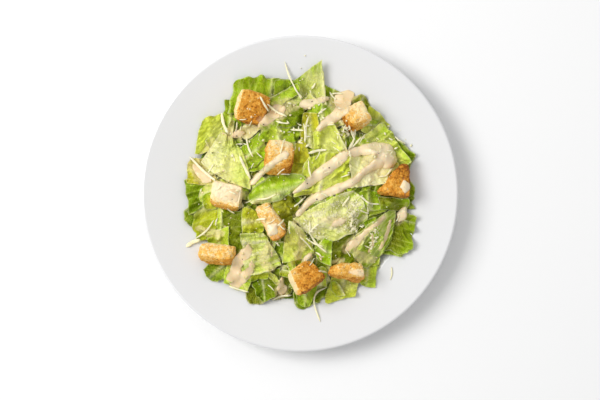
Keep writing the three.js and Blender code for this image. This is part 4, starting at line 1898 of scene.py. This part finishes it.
class SALAD_OT_stage(bpy.types.Operator):
    """Set the floor, the lights and the camera"""

    bl_idname = "salad.stage"
    bl_label = "Stage"

    def execute(self, context):
        stage = context.scene.salad_stage
        scene = context.scene
        mesh = bpy.data.meshes.new("table_top")
        mesh.from_pydata([(-4, -4, 0), (4, -4, 0), (4, 4, 0), (-4, 4, 0)], [], [(0, 1, 2, 3)])
        floor = placed("table_top", mesh)
        mesh.materials.append(table_top(stage))

        world = bpy.data.worlds.new("studio")
        scene.world = world
        world.use_nodes = True
        sky = world.node_tree.nodes["Background"]
        sky.inputs["Color"].default_value = (0.99, 0.995, 1.0, 1)
        sky.inputs["Strength"].default_value = stage.sky

        softbox("window", (-1.27, 0.41, 1.54), 1.0, stage.window, (1.0, 0.995, 0.985))
        softbox("overhead", (0.1, 1.1, 1.7), 1.4, stage.overhead, (1.0, 1.0, 1.0))

        lens = bpy.data.cameras.new("camera")
        lens.lens = stage.lens
        lens.sensor_width = 36
        camera = placed("camera", lens)
        camera.location = (0, -stage.camera_offset, stage.camera_height)
        scene.camera = camera

        scene.view_settings.view_transform = "Standard"
        scene.view_settings.look = "None"
        scene.view_settings.exposure = 0
        return {"FINISHED"}


class SALAD_PT_panel(bpy.types.Panel):
    """Buttons that build the salad, in order"""

    bl_label = "Caesar Salad"
    bl_idname = "SALAD_PT_panel"
    bl_space_type = "VIEW_3D"
    bl_region_type = "UI"
    bl_category = "Salad"

    def draw(self, context):
        for operator in OPERATORS:
            self.layout.operator(operator.bl_idname)


OPERATORS = [
    SALAD_OT_plate,
    SALAD_OT_core,
    SALAD_OT_leaves,
    SALAD_OT_croutons,
    SALAD_OT_dressing,
    SALAD_OT_cheese,
    SALAD_OT_pepper,
    SALAD_OT_stage,
]


def register():
    """Registers the settings, the operators and the panel."""
    for group in SETTINGS.values():
        bpy.utils.register_class(group)
    for cls in [*OPERATORS, SALAD_PT_panel]:
        bpy.utils.register_class(cls)
    for name, group in SETTINGS.items():
        setattr(bpy.types.Scene, name, PointerProperty(type=group))


def unregister():
    """Takes away what register added."""
    for name in SETTINGS:
        delattr(bpy.types.Scene, name)
    for cls in [SALAD_PT_panel, *reversed(OPERATORS)]:
        bpy.utils.unregister_class(cls)
    for group in reversed(list(SETTINGS.values())):
        bpy.utils.unregister_class(group)


def main():
    """Builds the salad piece by piece."""
    register()
    bpy.ops.salad.plate()
    bpy.ops.salad.core()
    bpy.ops.salad.leaves()
    bpy.ops.salad.croutons()
    bpy.ops.salad.dressing()
    bpy.ops.salad.cheese()
    bpy.ops.salad.pepper()
    bpy.ops.salad.stage()


if __name__ == "__main__":
    main()
